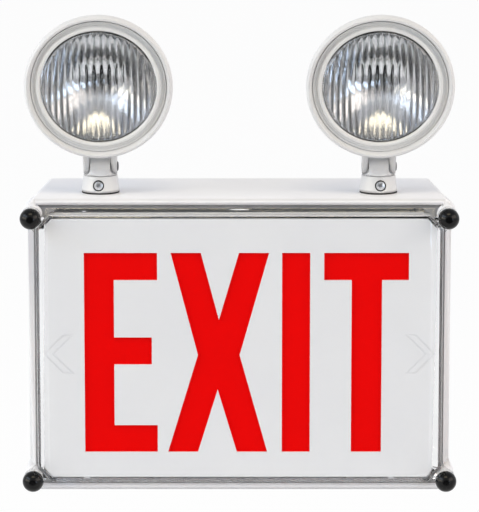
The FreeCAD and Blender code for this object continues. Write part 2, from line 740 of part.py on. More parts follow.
def repeat_row(body, sketch, length, count):
    """Repeat the body's last feature along X; the copies are solids of their own."""
    body.AllowCompound = True
    last = body.Tip
    pattern = body.newObject("PartDesign::LinearPattern", "row")
    pattern.Originals = [last]
    pattern.Direction = (sketch, ["H_Axis"])
    bind(pattern, "Length", length)
    pattern.Occurrences = count
    body.Tip = pattern
    document.recompute()


def make_battery():
    """A sealed lead-acid block with a lid line and two spade terminals."""
    body = new_node("battery")
    sketch = new_sketch(body, "XZ", d.wall)
    right, top = battery_left + d.battery_width, battery_bottom + d.battery_high
    draw_box(sketch, battery_left, battery_bottom, right, top)
    pad(body, sketch, d.battery_deep)
    round_edges(body, 1.5, along_y)
    tabs = new_sketch(body, "XZ", d.wall + d.battery_deep / 2 - 3)
    for x in (battery_left + 14, right - 20):
        draw_box(tabs, x, top - 1, x + 0.8, top + 6.5)
    pad(body, tabs, 6.3)


def make_battery_strap():
    """A bent steel strap over the battery, with a foot on a boss above and below it."""
    body = new_node("battery_strap")
    sketch = new_sketch(body, "YZ", strap_left)
    thick = d.strap_thick
    low, high = battery_bottom, battery_bottom + d.battery_high
    foot, front = -(d.wall + d.strap_boss), -(d.wall + d.battery_deep)
    draw_outline(sketch, [
        (foot, low - thick - d.strap_foot), (foot, low), (front, low), (front, high),
        (foot, high), (foot, high + thick + d.strap_foot),
        (foot - thick, high + thick + d.strap_foot), (foot - thick, high + thick),
        (front - thick, high + thick), (front - thick, low - thick),
        (foot - thick, low - thick), (foot - thick, low - thick - d.strap_foot)])
    pad(body, sketch, d.strap_width)
    holes = new_sketch(body, "XZ", d.wall + d.strap_boss + thick)
    for x, z in strap_screw_points():
        draw_circle(holes, x, z, 1.8)
    pocket(body, holes, thick)


def make_pan_screw_group(name, points, seat, shank_length):
    """A group of like pan-head screws, with heads on a seat in front of the back wall."""
    body = new_node(name)
    body.AllowCompound = True
    shanks = new_sketch(body, "XZ", seat - shank_length)
    heads = new_sketch(body, "XZ", seat)
    for x, z in points:
        draw_circle(shanks, x, z, 1.2)
        draw_circle(heads, x, z, 2.8)
    pad(body, heads, 1.8)
    pad(body, shanks, as_size(shank_length))


def make_charger_board():
    body = new_node("charger_board")
    sketch = new_sketch(body, "XZ", charger_back)
    draw_box(sketch, charger_left, charger_bottom, charger_left + d.charger_width,
             charger_bottom + d.charger_high)
    for x, z in board_screw_points():
        draw_circle(sketch, x, z, 1.6)
    pad(body, sketch, d.board_thick)


def make_block(name, left, low, back, width, high, deep, round_by):
    """A plain component body on the front of a board, with rounded upright edges."""
    body = new_node(name)
    sketch = new_sketch(body, "XZ", back)
    draw_box(sketch, left, low, left + width, low + high)
    pad(body, sketch, deep)
    round_edges(body, round_by, along_y)
    return body


def make_board_parts():
    """The transformer, relay, capacitors and terminal block on the charger board."""
    left, low = charger_left, charger_bottom
    core = make_block("transformer", left + 58, low + 12, charger_front, 42, 34, 14, 0.8)
    coil = new_sketch(core, "XZ", charger_front + 14)
    draw_box(coil, left + 65, low + 17, left + 93, low + 41)
    pad(core, coil, 9)
    upper = new_sketch(core, "XZ", charger_front + 23)
    draw_box(upper, left + 58, low + 12, left + 100, low + 46)
    pad(core, upper, 8)
    make_block("relay", left + 16, low + 12, charger_front, 19, 16, 16, 1.0)
    capacitors = new_node("capacitors")
    capacitors.AllowCompound = True
    sketch = new_sketch(capacitors, "XZ", charger_front)
    for across in (22, 40):
        draw_circle(sketch, left + across, low + 46, 6.3)
    pad(capacitors, sketch, 20)
    terminals = make_block("terminal_block", left + 24, low + 66, charger_front, 40, 10, 12, 0.6)
    wells = new_sketch(terminals, "XZ", charger_front + 12)
    for step in range(4):
        draw_circle(wells, left + 29 + step * 10, low + 71, 2.4)
    pocket(terminals, wells, 3)


def make_test_switch():
    """A push switch in the bottom wall: flanged bushing, nut and body in one moulding."""
    switch = new_node("test_switch")
    bore = d.button_radius + d.running_gap
    sketch = new_sketch(switch, "XZ")
    flange = 1.6
    body_low = d.wall + 1.2
    draw_outline(sketch, [
        (bore, -flange), (8.0, -flange), (8.0, 0), (d.switch_hole - 0.1, 0),
        (d.switch_hole - 0.1, body_low), (7.5, body_low), (7.5, body_low + 18),
        (0, body_low + 18), (0, body_low + 10), (bore, body_low + 10)])
    revolve(switch, sketch)
    set_place(switch, d.switch_x, switch_y, -top_z)
    button = new_node("test_button")
    cap = new_sketch(button, "XZ")
    draw_outline(cap, [
        (0, -flange - d.button_stand), (d.button_radius - 0.6, -flange - d.button_stand),
        (d.button_radius, 0.6 - flange - d.button_stand), (d.button_radius, body_low + 7),
        (0, body_low + 7)])
    revolve(button, cap)
    set_place(button, d.switch_x, switch_y, -top_z)


def make_pilot_light():
    """A domed indicator in a flanged holder."""
    body = new_node("pilot_light")
    sketch = new_sketch(body, "XZ")
    inner = d.pilot_hole - 0.1
    draw_outline(sketch, [
        (0, -4.0), (2.6, -1.4), (5.0, -1.4), (5.0, 0), (inner, 0), (inner, d.wall + 9),
        (0, d.wall + 9)], arcs={0: (2.7, "right")})
    revolve(body, sketch)
    set_place(body, d.pilot_x, switch_y, -top_z)


# ---------------------------------------------------------------- thumbscrews

def make_thumbscrews():
    """Ball knobs on studs, each with a washer on the shield's ear."""
    seat = d.box_depth + d.post_stand + d.ear_thick
    for corner, side, up in CORNERS:
        washer = new_node("washer_" + corner)
        ring = new_sketch(washer, "XZ")
        draw_outline(ring, [
            (d.stud_radius + 0.2, 0), (d.washer_radius, 0), (d.washer_radius, d.washer_thick),
            (d.stud_radius + 0.2, d.washer_thick)])
        revolve(washer, ring)
        set_place(washer, post_x * side, -seat, post_z * up, Vector(1, 0, 0), 90)
        screw = new_node("thumbscrew_" + corner)
        knob = new_sketch(screw, "XZ")
        back_radius = math.sqrt(d.knob_radius.number ** 2 - d.knob_back.number ** 2)
        crown = d.knob_back + d.knob_radius * 0.94
        crown_radius = d.knob_radius * 0.34
        draw_outline(knob, [
            (0, -d.stud_length), (d.stud_radius - 0.6, -d.stud_length),
            (d.stud_radius, 0.6 - d.stud_length), (d.stud_radius, 0), (back_radius, 0),
            (d.knob_radius, d.knob_back), (crown_radius, crown), (0, crown)],
            arcs={4: (d.knob_radius, "right"), 5: (d.knob_radius, "right")})
        revolve(screw, knob)
        set_place(screw, post_x * side, -(seat + d.washer_thick), post_z * up,
                  Vector(1, 0, 0), 90)


# ---------------------------------------------------------------- lamp necks

def make_neck(side_name, side):
    """Gasket, collar, locknut and collar screw, all fixed on the housing."""
    x = d.neck_x * side
    gasket = new_node(side_name + "_neck_gasket")
    ring = new_sketch(gasket, "XZ")
    edge = d.collar_base - d.neck_gasket_inset
    draw_outline(ring, [
        (neck_hole, 0), (edge, 0), (edge, d.neck_gasket_thick), (neck_hole, d.neck_gasket_thick)])
    revolve(gasket, ring)
    set_place(gasket, x, neck_y, top_z)

    collar = new_node(side_name + "_collar")
    section = new_sketch(collar, "XZ")
    socket = d.spigot_radius + d.running_gap
    floor = d.collar_height - d.spigot_length - d.face_gap
    draw_outline(section, [
        (d.wire_hole, -d.stem_length), (d.stem_radius, -d.stem_length), (d.stem_radius, 0),
        (d.collar_base, 0), (d.collar_top, d.collar_height), (socket, d.collar_height),
        (socket, floor), (d.wire_hole, floor)])
    revolve(collar, section)
    screw_z = d.set_screw_height - d.neck_gasket_thick
    spot = new_sketch(collar, "XZ", set_screw_seat())
    draw_circle(spot, 0, screw_z, d.set_screw_head + 0.15)
    pocket(collar, spot, 4, Reversed=True)
    hole = new_sketch(collar, "XZ", set_screw_seat())
    draw_circle(hole, 0, screw_z, d.set_screw_shank + 0.1)
    pocket(collar, hole, set_screw_seat() - d.spigot_radius + 1)
    set_place(collar, x, neck_y, collar_z, Vector(0, 0, 1), d.set_screw_turn * side)

    screw = new_node(side_name + "_collar_screw")
    profile = new_sketch(screw, "XZ")
    length = set_screw_seat() - d.spigot_radius + 0.7
    draw_outline(profile, [
        (0, -length), (d.set_screw_shank, -length), (d.set_screw_shank, 0),
        (d.set_screw_head, 0), (d.set_screw_head - 0.5, 1.3), (0, 1.7)],
        arcs={4: (9.0, "right")})
    revolve(screw, profile)
    cut_cross(screw, 1.7, 4.6, 0.9)
    turn = math.radians(d.set_screw_turn.number * side)
    seat = set_screw_seat()
    screw.Placement = FreeCAD.Placement(
        Vector(x.number + seat.number * math.sin(turn), neck_y.number - seat.number * math.cos(turn),
               collar_z.number + screw_z.number),
        FreeCAD.Rotation(Vector(0, 0, 1), math.degrees(turn)).multiply(
            FreeCAD.Rotation(Vector(1, 0, 0), 90)))

    nut = new_node(side_name + "_locknut")
    hexagon = new_sketch(nut, "XY")
    draw_hexagon(hexagon, d.nut_radius)
    draw_circle(hexagon, 0, 0, d.stem_radius + d.running_gap)
    pad(nut, hexagon, d.nut_thick)
    wall_slope = d.top_taper * d.neck_behind / d.box_depth
    set_place(nut, x, neck_y, top_z - d.wall - wall_slope - d.nut_thick - 0.35)


def set_screw_seat():
    """How far from the neck axis the collar screw's head sits."""
    share = (d.set_screw_height - d.neck_gasket_thick + d.set_screw_head) / d.collar_height
    return d.collar_base - (d.collar_base - d.collar_top) * share


def draw_hexagon(sketch, radius, x=0, y=0):
    points = []
    for step in range(6):
        across = round(math.cos(math.radians(60 * step)), 9)
        rise = round(math.sin(math.radians(60 * step)), 9)
        points.append((radius * across + x, radius * rise + y if rise else as_size(y)))
    draw_outline(sketch, points)


def cut_cross(body, top, length, width):
    """A cross recess in a screw head whose axis is the body's Z."""
    for across, down in ((length, width), (width, length)):
        slot = new_sketch(body, "XY", as_size(top) + 1)
        draw_centred(slot, across, down)
        pocket(body, slot, 2.2)


# ---------------------------------------------------------------- tilt joint

def make_knuckle(side_name, side):
    """The turning knuckle: spigot below, flared shoulders, and a tongue for the pivot."""
    body = new_node(side_name + "_knuckle")
    rise = pivot_z - collar_top_z
    half = d.tongue_width / 2
    blend = d.lug_blend + 0.2
    top = rise + d.tongue_round
    wide = half + blend + 1.5
    low, edge = d.face_gap, d.face_gap + d.shoulder_thick
    front = new_sketch(body, "XZ", 14)
    draw_outline(front, [
        (-wide, low), (wide, low), (wide, edge), (half + blend, edge), (half, edge + blend),
        (half, top), (-half, top), (-half, edge + blend), (-half - blend, edge), (-wide, edge)],
        arcs={3: (blend, "left"), 7: (blend, "left")})
    pad(body, front, 28, Reversed=True)
    drop_ring(body, "XY", shoulder_radius, as_size(30), 40)
    side_view = new_sketch(body, "YZ", 16)
    round_by = d.tongue_round
    reach = d.collar_top + 1
    draw_box(side_view, -20, -2, 20, 30)
    draw_outline(side_view, [
        (-reach, 0), (reach, 0), (round_by, rise - 1.5), (round_by, rise),
        (0, rise + round_by), (-round_by, rise), (-round_by, rise - 1.5)],
        arcs={3: (round_by, "right"), 4: (round_by, "right")})
    pocket(body, side_view, 32)
    spigot = new_sketch(body, "XZ")
    groove_z = d.collar_height - (d.set_screw_height - d.neck_gasket_thick)
    deep = d.spigot_radius - 1.0
    draw_outline(spigot, [
        (0, -d.spigot_length), (d.spigot_radius, -d.spigot_length),
        (d.spigot_radius, -groove_z - 2), (deep, -groove_z - 2), (deep, -groove_z + 2),
        (d.spigot_radius, -groove_z + 2), (d.spigot_radius, d.face_gap + 0.4),
        (0, d.face_gap + 0.4)])
    revolve(body, spigot)
    bore = new_sketch(body, "YZ", half + 1)
    draw_circle(bore, 0, rise, d.pivot_radius + d.running_gap)
    pocket(body, bore, d.tongue_width + 2)
    wires = new_sketch(body, "XY", as_size(20))
    draw_circle(wires, 0, 4.6, 1.7)
    pocket(body, wires, 20 + d.spigot_length)
    set_place(body, d.neck_x * side, neck_y, collar_top_z)


def make_pivot(side_name, side):
    """The cross-head pivot screw through lugs and tongue, and its nut."""
    outer = d.tongue_width / 2 + d.face_gap + d.lug_thick
    head_seat = outer - d.pivot_head_sunk + 0.02
    nut_seat = outer - d.pivot_nut_thick - d.pivot_seat_gap + 0.02
    screw = new_node(side_name + "_pivot_screw")
    profile = new_sketch(screw, "XZ")
    end = -(head_seat + outer - 0.4)
    draw_outline(profile, [
        (0, end), (d.pivot_radius - 0.5, end), (d.pivot_radius, end + 0.5), (d.pivot_radius, 0),
        (d.pivot_head, 0), (d.pivot_head, d.pivot_head_thick - 0.7),
        (d.pivot_head - 1.4, d.pivot_head_thick), (0, d.pivot_head_thick)],
        arcs={5: (2.2, "right")})
    revolve(screw, profile)
    cut_cross(screw, d.pivot_head_thick, 3.6, 0.8)
    set_place(screw, d.neck_x * side + head_seat, neck_y, pivot_z, Vector(0, 1, 0), 90)
    nut = new_node(side_name + "_pivot_nut")
    hexagon = new_sketch(nut, "XY")
    draw_hexagon(hexagon, d.pivot_nut)
    draw_circle(hexagon, 0, 0, d.pivot_radius + d.running_gap)
    pad(nut, hexagon, d.pivot_nut_thick)
    turn = FreeCAD.Rotation(Vector(1, 0, 0), 90 + d.lamp_tilt.number)
    nut.Placement = FreeCAD.Placement(
        Vector((d.neck_x * side - nut_seat).number, neck_y.number, pivot_z.number),
        turn.multiply(FreeCAD.Rotation(Vector(0, 1, 0), 270)).multiply(
            FreeCAD.Rotation(Vector(0, 0, 1), 90)))


# ---------------------------------------------------------------- lamp heads
# Each piece of a head is drawn about the lamp axis: Z runs forward out of the lens, Y is up the
# face of the lamp, and zero is the plane of the shell's widest section.

def place_head_piece(body, side):
    set_place(body, d.neck_x * side, lamp_y, lamp_z, Vector(1, 0, 0), 90 + d.lamp_tilt)


def pivot_in_head():
    """The tilt pivot seen in the head's own frame, as its up and forward distances."""
    tilt = math.radians(d.lamp_tilt.number)
    up = -d.lamp_forward * math.sin(tilt) - lamp_above * math.cos(tilt)
    forward = lamp_above * math.sin(tilt) - d.lamp_forward * math.cos(tilt)
    return up, forward


def make_head_shell(side_name, side):
    """A spun-looking moulded bowl with a rolled rim and two lugs for the pivot."""
    body = new_node(side_name + "_head_shell")
    rim, seat, wall = d.lamp_radius, bezel_seat, d.shell_wall
    back = -d.lamp_depth
    outside = new_sketch(body, "XZ")
    draw_outline(outside, [
        (0, back), (d.lamp_back, back), (rim - 4.0, -12.5), (rim - 2.4, -11.0), (rim, -8.5),
        (rim, -0.5), (rim - 2.6, 4.2), (seat + 0.9, 4.6), (0, 4.6)],
        arcs={1: (52.0, "right"), 3: (2.8, "right"), 5: (5.2, "right")})
    revolve(body, outside)
    add_lugs(body)
    inside = new_sketch(body, "XZ")
    draw_outline(inside, [
        (0, back + wall), (d.lamp_back - 1.0, back + wall), (rim - 4.6 - wall, -12.5),
        (seat - 3.9, -3.0), (seat, -3.0), (seat, 5.6), (0, 5.6)],
        arcs={1: (50.0, "right")})
    groove(body, inside)
    add_wire_slot(body)
    place_head_piece(body, side)


def draw_lug_section(sketch, side, half):
    """A lug cut across at the pivot, from the pivot axis or its mirror line out to its edge."""
    inner = d.tongue_width / 2 + d.face_gap
    outer = inner + d.lug_thick
    blend = d.lug_blend
    turn = "right" if side > 0 else "left"
    if half:
        draw_outline(sketch, [
            (inner * side, 0), (inner * side, d.lug_round - blend),
            ((inner + blend) * side, d.lug_round), (outer * side, d.lug_round),
            (outer * side, 0)], arcs={1: (blend, flip(turn))})
        return
    draw_outline(sketch, [
        (inner * side, blend - d.lug_round), (inner * side, d.lug_round - blend),
        ((inner + blend) * side, d.lug_round), (outer * side, d.lug_round),
        (outer * side, -d.lug_round), ((inner + blend) * side, -d.lug_round)],
        arcs={1: (blend, flip(turn)), 5: (blend, flip(turn))})


def flip(turn):
    return "left" if turn == "right" else "right"


def add_lugs(body):
    """Two lugs that run up into the bowl, round about the pivot and along their inner edges."""
    up, forward = pivot_in_head()
    inner = d.tongue_width / 2 + d.face_gap
    outer = inner + d.lug_thick
    for side in (-1, 1):
        leg = new_sketch(body, "XZ", -up, forward)
        draw_lug_section(leg, side, half=False)
        pad(body, leg, -up - d.lamp_radius + 11.4, Reversed=True)
        end = new_sketch(body, "XZ", -up, forward)
        draw_lug_section(end, side, half=True)
        add_feature(body, "Revolution", end, ReferenceAxis=(end, ["H_Axis"]), Angle=180)
    bore = new_sketch(body, "YZ", outer + 1)
    draw_circle(bore, up, forward, d.pivot_radius + d.running_gap)
    pocket(body, bore, 2 * (outer + 1))
    head_seat = new_sketch(body, "YZ", outer)
    draw_circle(head_seat, up, forward, d.pivot_head + d.pivot_seat_gap)
    pocket(body, head_seat, d.pivot_head_sunk)
    nut_seat = new_sketch(body, "YZ", -outer)
    draw_hexagon(nut_seat, d.pivot_nut + d.pivot_seat_gap, up, forward)
    pocket(body, nut_seat, d.pivot_nut_thick + d.pivot_seat_gap, Reversed=True)


def add_wire_slot(body):
    """A small wire way through the bowl between the lugs."""
    up, forward = pivot_in_head()
    slot = new_sketch(body, "XZ", d.lamp_radius - 15.4)
    draw_circle(slot, 0, forward - 6.5, 2.2)
    pocket(body, slot, 14, Reversed=True)


def make_bezel(side_name, side):
    """The retaining ring: a hollow run in to a rolled lip over the edge of the lens."""
    body = new_node(side_name + "_bezel")
    outer, lip = bezel_outer, bezel_inner
    back = lens_back() + d.lens_flange
    sketch = new_sketch(body, "XZ")
    draw_outline(sketch, [
        (lip, back), (outer, back), (outer, back + 3.2), (outer - 0.6, back + 3.5),
        (lip + 3.3, back + 0.9), (lip + 2.5, back + 1.0), (lip + 2.2, back + 2.2),
        (lip + 0.3, back + 1.6)],
        arcs={3: (4.2, "left"), 6: (1.3, "right")})
    revolve(body, sketch)
    notches = new_sketch(body, "XY", back + 4)
    for side_x in (-1, 1):
        across = outer * side_x
        draw_box(notches, across - 0.9, -3.4, across + 0.9, 2.6)
    pocket(body, notches, 2.4)
    place_head_piece(body, side)


def lens_back():
    """The back of the lens flange, in front of the reflector's flange and the lens gasket."""
    return as_size(-3.0) + d.reflector_wall + 0.8


def make_lens(side_name, side):
    """A clear lens whose front is a row of upright half-round flutes, trimmed round."""
    body = new_node(side_name + "_lens")
    back = lens_back()
    face = back + d.lens_body
    count = int(d.flute_count.number)
    window = bezel_inner - 0.25
    pitch = 2 * window / d.flute_count
    fluted = new_sketch(body, "XZ", window)
    edge = [(window - pitch * step, face) for step in range(count + 1)]
    draw_outline(fluted, [(-window, back), (window, back)] + edge,
                 arcs={2 + step: (d.flute_bulge, "right") for step in range(count)})
    pad(body, fluted, 2 * window, Reversed=True)
    drop_ring(body, "XY", window, as_size(6), 12)
    flange = new_sketch(body, "XY", back)
    draw_circle(flange, 0, 0, lens_edge)
    pad(body, flange, d.lens_flange)
    place_head_piece(body, side)


def make_lens_gasket(side_name, side):
    body = new_node(side_name + "_lens_gasket")
    sketch = new_sketch(body, "XY", lens_back() - 0.8)
    draw_circle(sketch, 0, 0, lens_edge)
    draw_circle(sketch, 0, 0, bezel_inner + 0.6)
    pad(body, sketch, 0.8)
    place_head_piece(body, side)


def make_reflector(side_name, side):
    """A thin aluminised bowl with a flange under the lens and an open neck for the bulb."""
    body = new_node(side_name + "_reflector")
    wall = d.reflector_wall
    flange_back = as_size(-3.0)
    neck_z = flange_back - d.reflector_deep
    mouth = bezel_inner - 0.2
    sketch = new_sketch(body, "XZ")
    draw_outline(sketch, [
        (d.reflector_neck, neck_z), (d.reflector_neck + wall, neck_z), (mouth + wall, flange_back),
        (bezel_seat - 0.5, flange_back), (bezel_seat - 0.5, flange_back + wall),
        (mouth, flange_back + wall), (d.reflector_neck, neck_z + wall)],
        arcs={1: (44.0, "right"), 5: (44.0, "left")})
    revolve(body, sketch)
    place_head_piece(body, side)


def make_bulb_and_socket(side_name, side):
    """A small glass bulb on a cap, pushed into a socket behind the reflector's neck."""
    neck_z = as_size(-3.0) - d.reflector_deep
    glass = d.bulb_radius
    bulb = new_node(side_name + "_bulb")
    sketch = new_sketch(bulb, "XZ")
    draw_outline(sketch, [
        (0, neck_z - 8), (4.0, neck_z - 8), (4.0, neck_z + 2), (3.2, neck_z + 3),
        (glass, neck_z + 6), (glass, neck_z + 11), (0, neck_z + 11 + glass)],
        arcs={5: (glass, "right")})
    revolve(bulb, sketch)
    place_head_piece(bulb, side)
    socket = new_node(side_name + "_bulb_socket")
    sketch = new_sketch(socket, "XZ")
    back = d.shell_wall - d.lamp_depth
    draw_outline(sketch, [
        (0, back), (d.socket_radius, back), (d.socket_radius, neck_z), (4.1, neck_z),
        (4.1, neck_z - 8), (0, neck_z - 8)])
    revolve(socket, sketch)
    place_head_piece(socket, side)


# ---------------------------------------------------------------- build, check and write

def build_all():
    make_back_housing()
    make_housing_gasket()
    make_clear_shield()
    make_face_plate()
    make_red_diffuser()
    make_inner_pan()
    make_led_boards()
    make_battery()
    make_battery_strap()
    make_charger_board()
    make_board_parts()
    make_pan_screw_group("pan_screws",
                         [(pan_post_x * side, pan_post_z * up) for _, side, up in CORNERS],
                         pan_back + d.pan_floor, 6.5)
    make_pan_screw_group("board_screws", board_screw_points(), charger_front, 6.0)
    make_pan_screw_group("strap_screws", strap_screw_points(),
                         d.wall + d.strap_boss + d.strap_thick, 5.0)
    make_test_switch()
    make_pilot_light()
    make_thumbscrews()
    for side_name, side in SIDES:
        make_neck(side_name, side)
        make_knuckle(side_name, side)
        make_pivot(side_name, side)
        make_head_shell(side_name, side)
        make_bezel(side_name, side)
        make_lens(side_name, side)
        make_lens_gasket(side_name, side)
        make_reflector(side_name, side)
        make_bulb_and_socket(side_name, side)


def check_and_write():
    document.recompute()
    for item in document.Objects:
        if "Invalid" in item.State or "Error" in item.State:
            raise ValueError("%s did not rebuild: %s" % (item.Label, item.State))
    for node in nodes:
        if node.Shape.isNull() or not node.Shape.isValid():
            raise ValueError(node.Label + " has no valid shape")
    os.makedirs("parts", exist_ok=True)
    for node in nodes:
        node.Shape.exportStep("parts/%s.step" % node.Label)
        print("%-28s %9.0f mm3" % (node.Label, node.Shape.Volume))
    print(len(nodes), "nodes")


build_all()
check_and_write()
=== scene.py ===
# %% [markdown]
# # A wet-location exit light
# The real unit is a moulded box that hangs on a wall. A clear tray closes its front over a white
# stencil plate, four ball knobs hold the tray, and two lamp heads swivel on top of the box.
# The imported model already gives every rigid piece its size and place, so this lesson is about
# what a camera sees: finishes, light, and the few pieces whose form is finer than the model's.
# First the imported model is loaded, and its box is kept: the floor is placed by it, and it is
# printed at the end.

# %% Load the imported model
import json
import math

import bmesh
import bpy
from mathutils import Matrix, Vector


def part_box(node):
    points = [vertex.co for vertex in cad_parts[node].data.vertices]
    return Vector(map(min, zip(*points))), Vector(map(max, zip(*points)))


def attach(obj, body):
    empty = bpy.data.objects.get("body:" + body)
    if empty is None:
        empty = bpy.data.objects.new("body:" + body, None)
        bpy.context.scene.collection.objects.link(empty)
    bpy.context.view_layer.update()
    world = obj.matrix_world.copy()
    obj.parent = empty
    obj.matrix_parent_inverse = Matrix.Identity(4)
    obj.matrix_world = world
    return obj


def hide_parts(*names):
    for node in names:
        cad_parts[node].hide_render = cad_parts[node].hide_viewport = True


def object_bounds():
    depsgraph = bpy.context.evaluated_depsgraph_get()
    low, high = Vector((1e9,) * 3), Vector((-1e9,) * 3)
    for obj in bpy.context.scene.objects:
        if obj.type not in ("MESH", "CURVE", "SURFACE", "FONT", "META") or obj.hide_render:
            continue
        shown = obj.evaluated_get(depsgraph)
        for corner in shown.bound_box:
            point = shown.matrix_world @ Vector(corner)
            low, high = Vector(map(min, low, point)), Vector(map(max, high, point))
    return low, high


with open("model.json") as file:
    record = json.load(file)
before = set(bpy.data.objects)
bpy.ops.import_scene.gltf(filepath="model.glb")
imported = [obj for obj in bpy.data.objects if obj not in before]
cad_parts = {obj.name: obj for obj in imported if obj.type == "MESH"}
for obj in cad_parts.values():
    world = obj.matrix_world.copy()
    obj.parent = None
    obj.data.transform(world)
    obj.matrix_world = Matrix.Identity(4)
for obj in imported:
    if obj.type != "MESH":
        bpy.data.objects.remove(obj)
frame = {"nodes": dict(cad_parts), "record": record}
nodes = frame["nodes"]
cad_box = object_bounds()
MM = 0.001
MERGE_PACKED, MERGE_SPUN = 0.002 * MM, 0.003 * MM      # corners nearer than this become one
bodies = {node: body for body, group in frame["record"]["behaviour"]["bodies"].items()
          for node in group}

# %% [markdown]
# ## Three small helpers
# A colour is easiest to choose as the hex value that a colour picker shows, but shaders work in
# linear light, so one function converts it. Another function adds a shader node together with
# its settings and links, which keeps each finish below down to a few readable lines. Patterns
# are sized in millimetres: a noise texture's scale is how many times it repeats in a metre.

# %% Colours, nodes and pattern sizes
def linear(hex_colour, alpha=1.0):
    """The linear colour of an sRGB hex value such as E6E7E9."""
    parts = [int(hex_colour[i:i + 2], 16) / 255 for i in (0, 2, 4)]
    light = [c / 12.92 if c <= 0.04045 else ((c + 0.055) / 1.055) ** 2.4 for c in parts]
    return (*light, alpha)


def add_node(tree, kind, settings=None, links=None):
    """Add a node. Settings name its properties or input sockets, links name its inputs."""
    node = tree.nodes.new(kind)
    for key, value in (settings or {}).items():
        if isinstance(key, str) and key not in node.inputs:
            setattr(node, key, value)
        else:
            node.inputs[key].default_value = value
    for key, source in (links or {}).items():
        tree.links.new(source, node.inputs[key])
    return node


def every(millimetres):
    """The texture scale at which a pattern repeats about once in so many millimetres."""
    return 1 / (millimetres * MM)


# %% [markdown]
# ## Moulded plastics
# Most of this unit is injection-moulded plastic. What tells one moulding from another is how
# its tool was finished: a spark-eroded tool leaves a fine grain that blurs reflections, a
# polished one leaves them sharp. One function serves them all. It reads Object coordinates,
# so the grain has a real size, and it makes the colour and the roughness wander slightly over
# some centimetres, because a large plain moulding is never perfectly even.

# %% The moulded finish
def begin_finish(name):
    """A new material's node tree with nothing in it, and the place of each surface point."""
    finish = bpy.data.materials.new(name)
    finish.use_nodes = True
    tree = finish.node_tree
    tree.nodes.clear()
    place = add_node(tree, "ShaderNodeTexCoord").outputs["Object"]
    return finish, tree, place


def end_finish(tree, shader):
    """Join the last shader to the material's output."""
    add_node(tree, "ShaderNodeOutputMaterial", links={"Surface": shader})


def wandering_colour(tree, place, pale, deep, size):
    """A colour that drifts between two hex values over patches of a size in millimetres."""
    cloud = add_node(tree, "ShaderNodeTexNoise", {"Scale": every(size), "Detail": 3.0},
                     {"Vector": place})
    ramp = add_node(tree, "ShaderNodeValToRGB", links={"Fac": cloud.outputs["Fac"]})
    ramp.color_ramp.elements[0].position = 0.3
    ramp.color_ramp.elements[0].color = linear(deep)
    ramp.color_ramp.elements[1].position = 0.7
    ramp.color_ramp.elements[1].color = linear(pale)
    return ramp.outputs["Color"]


def grain_bump(tree, place, size, height, strength=0.5):
    """A grain's bump, with its size and height in millimetres."""
    grain = add_node(tree, "ShaderNodeTexNoise", {"Scale": every(size), "Detail": 2.0},
                     {"Vector": place})
    return add_node(tree, "ShaderNodeBump", {"Strength": strength, "Distance": height * MM},
                    {"Height": grain.outputs["Fac"]}).outputs["Normal"]


def wandering_roughness(tree, place, smooth, rough, size=22):
    """A roughness that drifts between two values over patches of a size in millimetres."""
    cloud = add_node(tree, "ShaderNodeTexNoise", {"Scale": every(size), "Detail": 4.0},
                     {"Vector": place})
    return add_node(tree, "ShaderNodeMapRange", {"To Min": smooth, "To Max": rough},
                    {"Value": cloud.outputs["Fac"]}).outputs["Result"]


def moulded(name, pale, deep, smooth, rough, grain=0.9, height=0.02, ior=1.5):
    """A solid moulded plastic."""
    finish, tree, place = begin_finish(name)
    shader = add_node(tree, "ShaderNodeBsdfPrincipled", {"IOR": ior}, {
        "Base Color": wandering_colour(tree, place, pale, deep, 60),
        "Roughness": wandering_roughness(tree, place, smooth, rough),
        "Normal": grain_bump(tree, place, grain, height)})
    end_finish(tree, shader.outputs["BSDF"])
    return finish


housing_finish = moulded("polycarbonate_fine_texture", "EDEDEF", "E8E8EB", 0.38, 0.5, height=0.03)
lamp_finish = moulded("abs_satin_light_grey", "DBDBDB", "D6D6D6", 0.26, 0.36)
bezel_finish = moulded("abs_polished_light_grey", "E1E1E0", "DCDCDB", 0.16, 0.26, height=0.01)
face_finish = moulded("styrene_sheet_white", "F1F2F4", "EEEFF2", 0.34, 0.42, height=0.01)
tray_finish = moulded("abs_white_reflective", "F0F0F0", "EAEAEA", 0.5, 0.6)
battery_finish = moulded("abs_battery_case", "3A3A3D", "323235", 0.4, 0.55)
knob_finish = moulded("phenolic_black_polished", "0D0D0E", "0A0A0B", 0.16, 0.24, height=0.006,
                      ior=1.3)
switch_finish = moulded("nylon_black", "1A1A1B", "151516", 0.35, 0.5)
button_finish = moulded("abs_red_button", "C01818", "B01212", 0.25, 0.35)
nut_finish = moulded("nylon_natural", "DDDACF", "D5D2C6", 0.35, 0.5)
socket_finish = moulded("phenolic_black_matt", "2A2A2A", "222222", 0.5, 0.6)
relay_finish = moulded("pbt_blue_relay_case", "2C57A8", "264E9A", 0.25, 0.35)
terminal_finish = moulded("polyamide_green_terminal", "2E8B4C", "277A42", 0.3, 0.45)
can_finish = moulded("pet_sleeve_black", "18181C", "121216", 0.2, 0.3)
print(len(bpy.data.materials), "moulded finishes")

# %% [markdown]
# ## Rubber, red acrylic and boards
# Rubber is nearly black, dull and slightly uneven. The diffuser behind the letters is a sheet
# of deep red acrylic whose colour comes from inside the sheet, so it stays very saturated.
# A circuit board has copper tracks under its green mask: thin raised lines a millimetre or
# so apart, which a stepped wave pattern gives.

# %% Rubbers, acrylic, board and LEDs
rubber_finish = moulded("epdm_rubber_black", "1B1B1C", "141415", 0.65, 0.8, grain=0.7, height=0.04)
sponge_finish = moulded("epdm_sponge_grey", "A4A4A5", "949495", 0.75, 0.9, grain=0.8, height=0.08)
# This black finish also colours the ring round each collar screw's head, which is painted shade.
washer_and_shade_ring_finish = moulded("neoprene_washer", "161617", "101011", 0.55, 0.7, grain=0.6, height=0.04)
lens_gasket_finish = moulded("silicone_grey", "8C8C8C", "808080", 0.5, 0.6)


